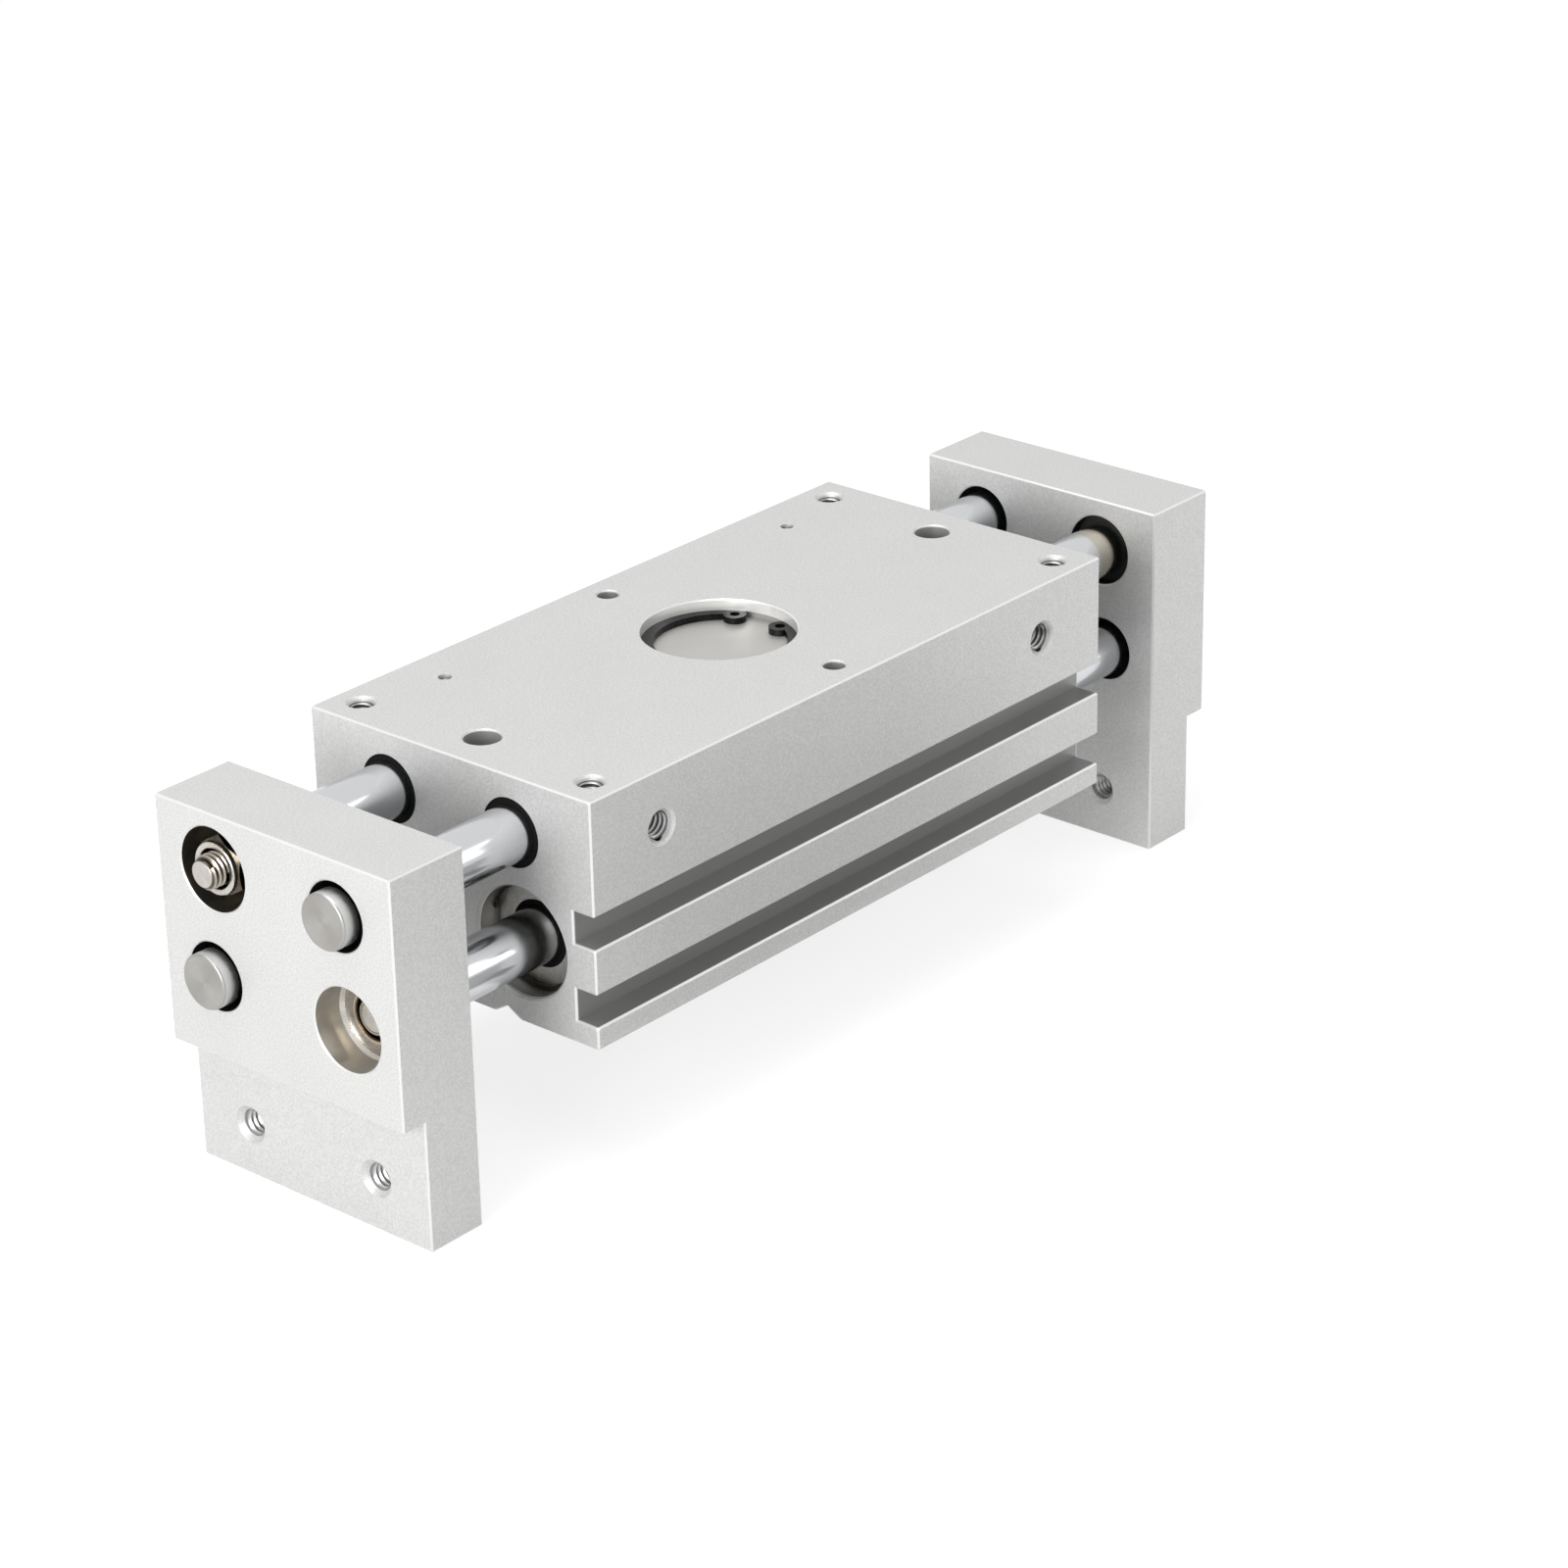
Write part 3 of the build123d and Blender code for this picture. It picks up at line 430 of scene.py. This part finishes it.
def rod_finish(name, line, stud_side, band=0):
    """Hard chrome with turned, warmer ends; the stud lies where x times y has the given sign.

    A beige band of this width is painted beside the rod's own finger.
    """
    rod = Finish(name, Metallic=1.0)
    radius = rod.line_distance(line)
    across, up = abs(rod.y) - abs(line[0]), rod.z - line[1]
    own = (rod.x * rod.y * stud_side) > 0
    beyond_start = abs(rod.x) > finger_inner_x + STUD_ZONE_START
    stud = own * (radius < STUD_ZONE_RADIUS) * beyond_start
    end = (abs(rod.x) > rod_end_x - TURNED_LENGTH) * (1 - stud)
    rings = rod.rings(radius, 0.3 * MM)
    fine = rod.noise(0.5 * MM, 2.0, (1, 6, 6))
    mottle = rod.noise(1.1 * MM, 3.0)
    reach_in = finger_inner_x - abs(rod.x)
    beside = (reach_in > BAND_START) * (reach_in < BAND_START + band) * (band > 0)
    # A beige band beside the rod's own finger
    chrome = rod.mix(own * beside, rod.mix(fine, *CHROME), BEIGE_BAND)
    # Painted sheen: lighter and darker sectors round the axis stand in for the highlight on the
    # turning marks
    painted_sheen = across * up / (radius * radius + 1e-8) * 0.5 + 0.5
    turned = rod.mix(rings * 0.12 + mottle * 0.28 + painted_sheen * 0.6, *TURNED_END)
    # Painted shade: the rounded rim of the end is darker
    turned = rod.mix(radius > END_RIM_RADIUS, turned, END_RIM_SHADE)
    turned = rod.mix(rod.facing[0] < 0.2, turned, END_WALL)
    colour = rod.mix(end, chrome, turned)
    tip = (rod.facing[0] > 0.85) * (radius < STUD_TIP_RADIUS)
    # Painted shade in the stud's thread roots and painted highlight on its crests
    thread = rod.mix(rod.soft_step(radius, STUD_ROOT, STUD_CREST), *STUD_THREAD_SHADING)
    # Painted shadow: past the crests the gap round the stud is dark brown
    thread = rod.mix(rod.soft_step(radius, STUD_GAP_START, STUD_GAP_END), thread, BROWN_GAP_SHADOW)
    rough = rod.across(end, fine * 0.06 + 0.15, mottle * 0.12 + 0.30)
    rod.set(
        Base_Color=rod.mix(stud, colour, rod.mix(tip, thread, rod.mix(mottle, *STUD_TIP))),
        Roughness=rod.across(stud, rough, mottle * 0.1 + 0.24),
    )
    rod.bump((rings * 0.6 + mottle * 0.4) * end * (rod.facing[0] > 0.85), 0.012 * MM, 0.8)
    return rod.material


def rubber_finish():
    rubber = Finish("black_rubber_ring", Specular_IOR_Level=0.04)
    grain = rubber.noise(0.4 * MM, 3.0)
    rubber.set(Base_Color=rubber.mix(grain, *RUBBER), Roughness=grain * 0.2 + 0.6)
    rubber.bump(grain, 0.02 * MM, 0.5)
    return rubber.material


def metal_finish(name, tones, roughness, grain_size=0.6 * MM, bump=0.01 * MM, metallic=1.0):
    """A plated or machined surface whose colour wanders a little between two tones."""
    metal = Finish(name, Metallic=metallic)
    grain = metal.noise(grain_size, 3.0)
    cloud = metal.noise(6 * MM, 2.0)
    metal.set(
        Base_Color=metal.mix(metal.soft_step(grain * 0.5 + cloud * 0.5, 0.35, 0.65), *tones),
        Roughness=grain * 0.1 + roughness,
    )
    metal.bump(grain, bump, 0.5)
    return metal.material


FLANGE_MOUTH_RADIUS, FLANGE_COLLAR_RADIUS = 4.2 * MM, 4.97 * MM
COLLAR_SHADE_START, COLLAR_SHADE_END = 4.3 * MM, 4.75 * MM


def flange_nut_finish():
    """The flanged nut: grey-brown flange, a collar painted from dark brown to a golden highlight
    at its edge, and painted shadow in the mouth round the stud.
    """
    nut = Finish("flange_nut_plate", Metallic=1.0)
    radius = nut.line_distance(PISTON_LINE)
    grain = nut.noise(0.7 * MM, 3.0)
    flange = nut.mix(grain * 0.5 + nut.rings(radius, 0.35 * MM) * 0.5, *FLANGE)
    # Painted highlight: the collar lightens to gold towards its rounded edge
    collar_glint = nut.soft_step(radius, COLLAR_SHADE_START, COLLAR_SHADE_END)
    colour = nut.mix(radius < FLANGE_COLLAR_RADIUS, flange, nut.mix(collar_glint, *FLANGE_COLLAR_GLINT))
    # Painted shadow in the mouth round the stud
    colour = nut.mix(radius < FLANGE_MOUTH_RADIUS, colour, BROWN_GAP_SHADOW)
    nut.set(Base_Color=colour, Roughness=grain * 0.12 + 0.2)
    nut.bump(grain, 0.003 * MM, 0.5)
    return nut.material


def thread_finish(name, axis, size, light, dark):
    """Cut thread in a hole, with a painted highlight on the crests and painted shade in the roots;
    the axis has None along its length.
    """
    thread = Finish(name, Metallic=1.0)
    coordinates = zip((thread.x, thread.y, thread.z), axis)
    away = [abs(part) - middle for part, middle in coordinates if middle]
    grain = thread.noise(0.5 * MM, 2.0)
    depth = thread.soft_step(thread.reach(*away), size["crest"], size["radius"])
    # Painted shade in the roots, painted highlight on the crests: the last two arguments give
    # their greys
    thread.set(
        Base_Color=thread.mix(depth, (light,) * 3, (dark,) * 3),
        Roughness=grain * 0.12 + 0.3,
    )
    return thread.material


def washer_finish():
    """Nickel under the nuts; on the inner side of the finger painted black as shade in the gap
    round the rod.
    """
    washer = Finish("joint_washer")
    grain = washer.noise(0.6 * MM, 3.0)
    inner = abs(washer.x) < finger_inner_x + 5 * MM
    washer.set(
        # Painted shade: the washers on the finger's inner side are black
        Base_Color=washer.mix(inner, washer.mix(grain, *WASHER), HOLE_SHADE_BLACK),
        Metallic=1 - inner,
        Roughness=grain * 0.1 + 0.25 + inner * 0.3,
    )
    return washer.material


def disc_finish():
    """The pinion's cover: a pale, warm, ground steel disc."""
    disc = Finish("window_disc", Metallic=0.9)
    grain = disc.noise(0.5 * MM, 3.0, (1, 5, 1))
    cloud = disc.noise(9 * MM, 2.0)
    disc.set(Base_Color=disc.mix(cloud, *DISC), Roughness=grain * 0.12 + 0.46)
    disc.bump(grain, 0.006 * MM, 0.5)
    return disc.material


# Painted shade: the lock nuts' hexagons are dark brown
shaded_nut_hex = metal_finish("nut_hex_painted_shade", NUT_HEX_SHADE, 0.12, bump=0.002 * MM)
collar_metal = metal_finish("nut_collar", NUT_COLLAR, 0.22)
bronze = metal_finish("sintered_bronze", BRONZE, 0.38, 0.3 * MM, 0.02 * MM)
spring_steel = metal_finish("phosphated_spring_steel", SPRING_STEEL, 0.34)
hardened = metal_finish("hardened_steel", HARDENED, 0.28)
turned_cover = metal_finish("turned_cover", TURNED_COVER, 0.34)
rubber = rubber_finish()
FINISHES = {
    "body_block": body_finish(),
    "finger": finger_finish(),
    "rack_rod": rod_finish("hard_chrome_rack_rod", RACK_LINE, -1, BAND_WIDTH),
    "piston_rod": rod_finish("hard_chrome_piston_rod", PISTON_LINE, 1),
    "pinion_cover_ring": spring_steel,
    "pinion_cover_seal": rubber,
    "pinion_cover": disc_finish(),
    "pinion": hardened,
    "passage_balls": hardened,
    "thrust_washers": bronze,
    "rod_cover": turned_cover,
    "rod_seal": rubber,
    "rod_bush": bronze,
    "cover_ring": metal_finish("snap_ring", SNAP_STEEL, 0.3),
    "cover_gaskets": rubber,
    "rack_bush": bronze,
    "rack_scraper": rubber,
    "bumpers": rubber,
    "piston_seals": rubber,
    "piston_clips": spring_steel,
    "piston_nut": flange_nut_finish(),
    "piston": turned_cover,
    "wear_ring": metal_finish("acetal_ring", ACETAL, 0.45, metallic=0.0),
    "magnet": metal_finish("magnet_ring", FERRITE, 0.5, metallic=0.2),
    "rack_nut": shaded_nut_hex,
    "joint_washers": washer_finish(),
}
for name, node in nodes.items():
    key = max((start for start in FINISHES if name.startswith(start)), key=len)
    for slot in node.material_slots:
        slot.material = FINISHES[key]


# Shaping

def along(start, direction):
    """Places a shape made round the Z axis at the origin on a line that points this way."""
    turn = Vector(direction).to_track_quat("Z", "Y").to_matrix().to_4x4()
    return Matrix.Translation(start) @ turn


def finish_piece(name, shape, materials, body, smooth=35):
    """Turn a bmesh into a piece that rides on a body."""
    bmesh.ops.recalc_face_normals(shape, faces=shape.faces)
    mesh = bpy.data.meshes.new(name)
    shape.to_mesh(mesh)
    shape.free()
    mesh.shade_smooth()
    mesh.set_sharp_from_angle(angle=radians(smooth))
    for material in materials:
        mesh.materials.append(material)
    piece = bpy.data.objects.new(name, mesh)
    bpy.context.scene.collection.objects.link(piece)
    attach(piece, body)
    return piece


def join(shape, part, place, material=0):
    """Add a part, made round the Z axis, to a shape at its place."""
    for face in part.faces:
        face.material_index = material
    bmesh.ops.transform(part, matrix=place, verts=part.verts)
    carrier = bpy.data.meshes.new("carrier")
    part.to_mesh(carrier)
    part.free()
    shape.from_mesh(carrier)
    bpy.data.meshes.remove(carrier)


def add_turned(shape, outline, place, steps=96, material=0):
    """Spin an outline of (radius, height) points round the Z axis and add it at its place."""
    part = bmesh.new()
    verts = [part.verts.new((radius, 0, height)) for radius, height in outline]
    following = verts[1:]
    if outline[0][0] > 0 and outline[-1][0] > 0:
        following.append(verts[0])
    edges = [part.edges.new(pair) for pair in zip(verts, following)]
    bmesh.ops.spin(
        part,
        geom=verts + edges,
        cent=(0, 0, 0),
        axis=(0, 0, 1),
        angle=tau,
        steps=steps,
        use_merge=True,
    )
    bmesh.ops.remove_doubles(part, verts=part.verts, dist=1e-7)
    join(shape, part, place, material)


RIDGE_HALF, RIDGE_FLAT, RIDGE_SUNK = 0.46, 0.06, 0.3


def add_thread(shape, radius, crest, pitch, turns, place, steps=28):
    """A helical ridge from radius to crest that climbs along the Z axis."""
    half, flat = pitch * RIDGE_HALF, pitch * RIDGE_FLAT
    back = radius + (radius - crest) * RIDGE_SUNK
    section = (
        (back, -half), (radius, -half), (crest, -flat), (crest, flat), (radius, half), (back, half)
    )
    part = bmesh.new()
    verts = [part.verts.new((reach, 0, height)) for reach, height in section]
    start = part.faces.new(verts)
    edges = list(start.edges)
    total = round(turns * steps)
    spun = bmesh.ops.spin(
        part,
        geom=verts + edges,
        cent=(0, 0, 0),
        axis=(0, 0, 1),
        dvec=(0, 0, pitch / steps),
        angle=tau * total / steps,
        steps=total,
        use_merge=False,
    )
    last = [item for item in spun["geom_last"] if isinstance(item, bmesh.types.BMVert)]
    bmesh.ops.contextual_create(part, geom=last)
    join(shape, part, place)


def cut_off(shape, point, normal):
    """Cut away what lies past a plane and close the opening."""
    cut = bmesh.ops.bisect_plane(
        shape,
        geom=list(shape.verts) + list(shape.edges) + list(shape.faces),
        plane_co=point,
        plane_no=normal,
        dist=1e-8,
        clear_outer=True,
    )
    rim = [item for item in cut["geom_cut"] if isinstance(item, bmesh.types.BMEdge)]
    if rim:
        bmesh.ops.contextual_create(shape, geom=rim)


def rounded_edge(radius, tip, back, steps):
    """Points of a rounded edge; the steps run inwards and back from the tip, in millimetres."""
    return [(radius - inward * MM, tip + back * away * MM) for inward, away in steps]


# Threads in the tapped holes: crests stand in from the drilled wall

M5 = {"radius": 2.11 * MM, "crest": 1.74 * MM, "pitch": 0.8 * MM}
M6 = {"radius": 2.51 * MM, "crest": 2.06 * MM, "pitch": 1.0 * MM}
SCREW_X, SCREW_Y = half_length - 6.6 * MM, half_width - 5.8 * MM
SCREW_START, SCREW_DEPTH = 0.95 * MM, 8.8 * MM
PORT_X = half_length - 17.25 * MM
PORT_START, PORT_DEPTH = 1.3 * MM, 6.2 * MM
FINGER_THREAD_START = 1.45 * MM


def tapped(name, size, depth, places, finish, body):
    """One piece that holds the threads of several holes."""
    threads = bmesh.new()
    for place in places:
        add_thread(threads, **size, turns=depth / size["pitch"], place=place)
    finish_piece(name, threads, [finish], body)


tapped(
    "screw_hole_threads",
    M5,
    SCREW_DEPTH,
    [
        along((side * SCREW_X, end * SCREW_Y, top_z - SCREW_START - SCREW_DEPTH), (0, 0, 1))
        for side in (-1, 1)
        for end in (-1, 1)
    ],
    thread_finish("screw_hole_thread", (SCREW_X, SCREW_Y, None), M5, 0.42, 0.06),
    "housing",
)
tapped(
    "port_threads",
    M6,
    PORT_DEPTH,
    [
        along((side * PORT_X, -half_width + PORT_START + PORT_DEPTH, rack_z), (0, -1, 0))
        for side in (-1, 1)
    ],
    thread_finish("port_thread", (PORT_X, None, rack_z), M6, 0.50, 0.05),
    "housing",
)
finger_thread = thread_finish(
    "finger_hole_thread", (None, FINGER_HOLE_Y, FINGER_HOLE_Z), M6, 0.60, 0.30
)
for jaw, side in JAWS:
    start_x = side * (finger_inner_x + FINGER_THREAD_START)
    tapped(
        f"finger_hole_threads_{jaw}",
        M6,
        FINGER_FOOT - 2 * FINGER_THREAD_START,
        [along((start_x, end * FINGER_HOLE_Y, FINGER_HOLE_Z), (side, 0, 0)) for end in (-1, 1)],
        finger_thread,
        f"{jaw}_jaw",
    )


# Hexagon lock nuts on the rack rods

NUT_FLATS = 10.0 * MM
NUT_HEIGHT = 6.9 * MM
NUT_COLLAR_RADIUS = 4.75 * MM
NUT_COLLAR_HEIGHT = 0.9 * MM
NUT_CORNER_SLOPE = radians(30)
NUT_CORNER_START = 0.485
NUT_CORNER_CUTS = 48
COLLAR_EDGE = ((0, 0.36), (0.08, 0.16), (0.22, 0.04), (0.42, 0))
COLLAR_BORE = 0.6 * MM
COLLAR_OVERLAP = 0.1 * MM
STUD_RADIUS = 3.0 * MM
STUD_CORE = 2.5 * MM
STUD_PLAY = 0.02 * MM
nut_seat_x = nut_end_x - NUT_HEIGHT - NUT_COLLAR_HEIGHT


def add_hexagon(shape, place):
    """A hexagon prism whose corners are chamfered at both ends by a ring of slanting cuts."""
    part = bmesh.new()
    bmesh.ops.create_cone(
        part,
        cap_ends=True,
        segments=6,
        radius1=NUT_FLATS / 2 / cos(pi / 6),
        radius2=NUT_FLATS / 2 / cos(pi / 6),
        depth=NUT_HEIGHT,
        matrix=Matrix.Translation((0, 0, NUT_HEIGHT / 2)),
    )
    for end, way in ((0, -1), (1, 1)):
        for step in range(NUT_CORNER_CUTS):
            angle = tau * step / NUT_CORNER_CUTS
            outward = Vector((cos(angle), sin(angle), 0))
            lengthwise = Vector((0, 0, way * cos(NUT_CORNER_SLOPE)))
            cut_off(
                part,
                outward * NUT_FLATS * NUT_CORNER_START + Vector((0, 0, end * NUT_HEIGHT)),
                outward * sin(NUT_CORNER_SLOPE) + lengthwise,
            )
    join(shape, part, place)


start, end = NUT_HEIGHT - COLLAR_OVERLAP, NUT_HEIGHT + NUT_COLLAR_HEIGHT
collar_outline = [
    (STUD_RADIUS + STUD_PLAY, start),
    (NUT_COLLAR_RADIUS, start),
    *rounded_edge(NUT_COLLAR_RADIUS, end, -1, COLLAR_EDGE),
    (STUD_RADIUS + COLLAR_BORE + 0.25 * MM, end),
    (STUD_RADIUS + COLLAR_BORE + 0.08 * MM, end - 0.06 * MM),
    (STUD_RADIUS + COLLAR_BORE, end - 0.2 * MM),
    (STUD_RADIUS + COLLAR_BORE, start + COLLAR_OVERLAP),
    (STUD_RADIUS + STUD_PLAY, start + COLLAR_OVERLAP),
]
for jaw, side in JAWS:
    place = along((side * nut_seat_x, -side * rack_y, rack_z), (side, 0, 0))
    nut = bmesh.new()
    add_hexagon(nut, place)
    add_turned(nut, collar_outline, place, material=1)
    piece = finish_piece(
        f"lock_nut_{jaw}",
        nut,
        [shaded_nut_hex, collar_metal],
        f"{jaw}_jaw",
        25,
    )
    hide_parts(f"rack_nut_{jaw}")


# Rods, finer than the solids so that they mirror cleanly; the rack rods keep the solids' teeth

ROD_STEPS = 160
SUPPORT = 0.3 * MM
TOOTHED_HALF = 36 * MM
SHOULDER_X = finger_inner_x + 2.5 * MM
ROD_EDGE = ((0, 0.4), (0.05, 0.2), (0.18, 0.06), (0.4, 0))
STUD_EDGE = ((0, 0.3), (0.09, 0.09), (0.3, 0))
STUD_THREAD_PITCH = 1.0 * MM


def tip_outline(radius, tip, back, steps):
    """Outline of a rod's tip: an edge between two extra points that keep its sides flat."""
    edge = rounded_edge(radius, tip, back, steps)
    first, last = edge[0], edge[-1]
    return [(first[0], first[1] + back * SUPPORT), *edge, (last[0] - SUPPORT, tip), (0, tip)]


def toothed_middle(node):
    """The part of a rack rod between the spun ends, cut from a copy of its solid."""
    middle = bmesh.new()
    middle.from_mesh(node.data)
    bmesh.ops.remove_doubles(middle, verts=middle.verts, dist=1e-6)
    for way in (-1, 1):
        cut_off(middle, (way * TOOTHED_HALF, 0, 0), (way, 0, 0))
    return middle


plain_end = tip_outline(rod_radius, -rod_end_x, 1, ROD_EDGE)
stud_tip_x = -rack_low.x
stud_outline = [
    (0, TOOTHED_HALF),
    (rod_radius, TOOTHED_HALF),
    (rod_radius, SHOULDER_X),
    (STUD_RADIUS, SHOULDER_X),
    (STUD_RADIUS, nut_end_x - 1.6 * MM),
    (STUD_CORE, nut_end_x - 1.4 * MM),
    *tip_outline(STUD_CORE, stud_tip_x, -1, STUD_EDGE),
]
for jaw, side in JAWS:
    place = along((0, -side * rack_y, rack_z), (side, 0, 0))
    rod = toothed_middle(nodes[f"rack_rod_{jaw}"])
    add_turned(rod, stud_outline, place, ROD_STEPS)
    add_turned(
        rod, [(0, -TOOTHED_HALF), (rod_radius, -TOOTHED_HALF), *plain_end], place, ROD_STEPS
    )
    add_thread(
        rod,
        radius=STUD_CORE,
        crest=STUD_RADIUS,
        pitch=STUD_THREAD_PITCH,
        turns=(stud_tip_x - nut_end_x + 0.4 * MM) / STUD_THREAD_PITCH,
        place=place @ Matrix.Translation((0, 0, nut_end_x - 0.9 * MM)),
        steps=48,
    )
    piece = finish_piece(
        f"spun_rack_rod_{jaw}", rod, [FINISHES["rack_rod"]], f"{jaw}_jaw"
    )
    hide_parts(f"rack_rod_{jaw}")

CLIP_GROOVE = 0.5 * MM
CLIP_WIDTH = 1.0 * MM
JOINT_STUD_RADIUS = STUD_RADIUS + 1.0 * MM
piston_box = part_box("piston_left")
joint_tip_x = -piston_low.x
piston_rod_outline = [
    (0, joint_tip_x),
    (JOINT_STUD_RADIUS - 0.9 * MM, joint_tip_x),
    (JOINT_STUD_RADIUS - 0.65 * MM, joint_tip_x - 0.2 * MM),
    (JOINT_STUD_RADIUS, joint_tip_x - 0.9 * MM),
    (JOINT_STUD_RADIUS, SHOULDER_X),
    (rod_radius, SHOULDER_X),
]
for start in (-piston_box[0].x + CLIP_WIDTH, -piston_box[1].x):
    piston_rod_outline += [
        (rod_radius, start),
        (rod_radius - CLIP_GROOVE, start),
        (rod_radius - CLIP_GROOVE, start - CLIP_WIDTH),
        (rod_radius, start - CLIP_WIDTH),
    ]
piston_rod_outline += plain_end
for jaw, side in JAWS:
    rod = bmesh.new()
    place = along((0, -side * piston_y, piston_z), (side, 0, 0))
    add_turned(rod, piston_rod_outline, place, ROD_STEPS)
    piece = finish_piece(
        f"spun_piston_rod_{jaw}", rod, [FINISHES["piston_rod"]], f"{jaw}_jaw"
    )
    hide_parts(f"piston_rod_{jaw}")


# Camera, from the photograph's own perspective

CAMERA_AZIMUTH, CAMERA_ELEVATION, CAMERA_ROLL = map(radians, (-48.985, 24.341, -1.197))
CAMERA_PLACE = (-0.556896, -0.498937, 0.377552)
CAMERA_LENS, SENSOR_WIDTH = 104.62, 36.0

camera_data = bpy.data.cameras.new("camera")
camera_data.lens, camera_data.sensor_width = CAMERA_LENS, SENSOR_WIDTH
camera_data.clip_start, camera_data.clip_end = 0.01, 20.0
camera = bpy.data.objects.new("camera", camera_data)
camera.matrix_world = (
    Matrix.Translation(CAMERA_PLACE)
    @ Matrix.Rotation(CAMERA_AZIMUTH, 4, "Z")
    @ Matrix.Rotation(pi / 2 - CAMERA_ELEVATION, 4, "X")
    @ Matrix.Rotation(CAMERA_ROLL, 4, "Z")
)
bpy.context.scene.collection.objects.link(camera)
bpy.context.scene.camera = camera


# Studio: floor and surroundings are white to the eye and in mirrors, and light the object softly

LIGHT_LEVEL = 0.55
FLOOR_GLOW = 1.08
SHADOW_SEEN, SHADOW_MIRRORED = 0.3, 0.6
FLOOR_HALF = 4.0
BLOCK_CENTRE, BLOCK_SIZE = (0.010, -0.092, 0.022), (0.105, 0.062, 0.044, 1.0)
WHITE = (1.0, 1.0, 1.0)


def stage_piece(name, shape, finish):
    """Turn a bmesh into a piece of the studio."""
    mesh = bpy.data.meshes.new(name)
    shape.to_mesh(mesh)
    shape.free()
    mesh.materials.append(finish.material)
    piece = bpy.data.objects.new(name, mesh)
    bpy.context.scene.collection.objects.link(piece)
    return piece


paper = Finish("studio_floor", Base_Color=(0.9, 0.9, 0.9), Roughness=0.9, Specular_IOR_Level=0.0)
glow = paper.node("ShaderNodeEmission", inputs={"Color": WHITE, "Strength": FLOOR_GLOW})
camera_ray = Num(paper, paper.node("ShaderNodeLightPath").outputs["Is Camera Ray"])
shadowed = paper.node(
    "ShaderNodeMixShader",
    inputs={
        0: paper.across(camera_ray, SHADOW_MIRRORED, SHADOW_SEEN),
        1: glow.outputs[0],
        2: paper.shader.outputs[0],
    },
)
paper.white_to_the_eye(shadowed.outputs[0], paper.shader.outputs[0], "Material Output")
floor_shape = bmesh.new()
bmesh.ops.create_grid(floor_shape, x_segments=1, y_segments=1, size=FLOOR_HALF)
stage_piece("floor", floor_shape, paper)

# A grey block in front of the housing, which only mirrors see
block_shape = bmesh.new()
bmesh.ops.create_cube(
    block_shape,
    size=1.0,
    matrix=Matrix.Translation(BLOCK_CENTRE) @ Matrix.Diagonal(BLOCK_SIZE),
)
block_grey = Finish("card_grey", Base_Color=(0.30, 0.30, 0.30), Roughness=0.8)
block = stage_piece("reflection_card", block_shape, block_grey)
block.visible_camera = block.visible_diffuse = block.visible_shadow = False

world = bpy.data.worlds.new("studio")
world.use_nodes = True
bpy.context.scene.world = world
sky = Graph(world.node_tree)
surround = sky.tree.nodes["Background"]
sky.join(surround.inputs["Color"], WHITE)
sky.join(surround.inputs["Strength"], LIGHT_LEVEL)
backdrop = sky.node("ShaderNodeBackground", inputs={"Color": WHITE})
sky.white_to_the_eye(backdrop.outputs[0], surround.outputs[0], "World Output")

LAMP_AIM = Vector((0, 0, 0.04))


def soft_lamp(name, place, size, watts, mirrored=True):
    lamp = bpy.data.lights.new(name, "AREA")
    lamp.shape, lamp.size, lamp.energy = "DISK", size, watts
    holder = bpy.data.objects.new(name, lamp)
    turn = (LAMP_AIM - Vector(place)).to_track_quat("-Z", "Y").to_matrix().to_4x4()
    holder.matrix_world = Matrix.Translation(place) @ turn
    holder.visible_glossy = mirrored
    bpy.context.scene.collection.objects.link(holder)


soft_lamp("overhead", (-0.15, 0.1, 1.1), 1.0, 8.0)
soft_lamp("left_side", (-1.08, -0.2, 0.34), 0.6, 11.0)
soft_lamp("right_front", (0.6, -0.6, 0.35), 0.5, 1.1)
soft_lamp("right_fill", (0.62, -0.42, 0.3), 0.5, 0.9, mirrored=False)

bpy.context.scene.view_settings.view_transform = "Standard"
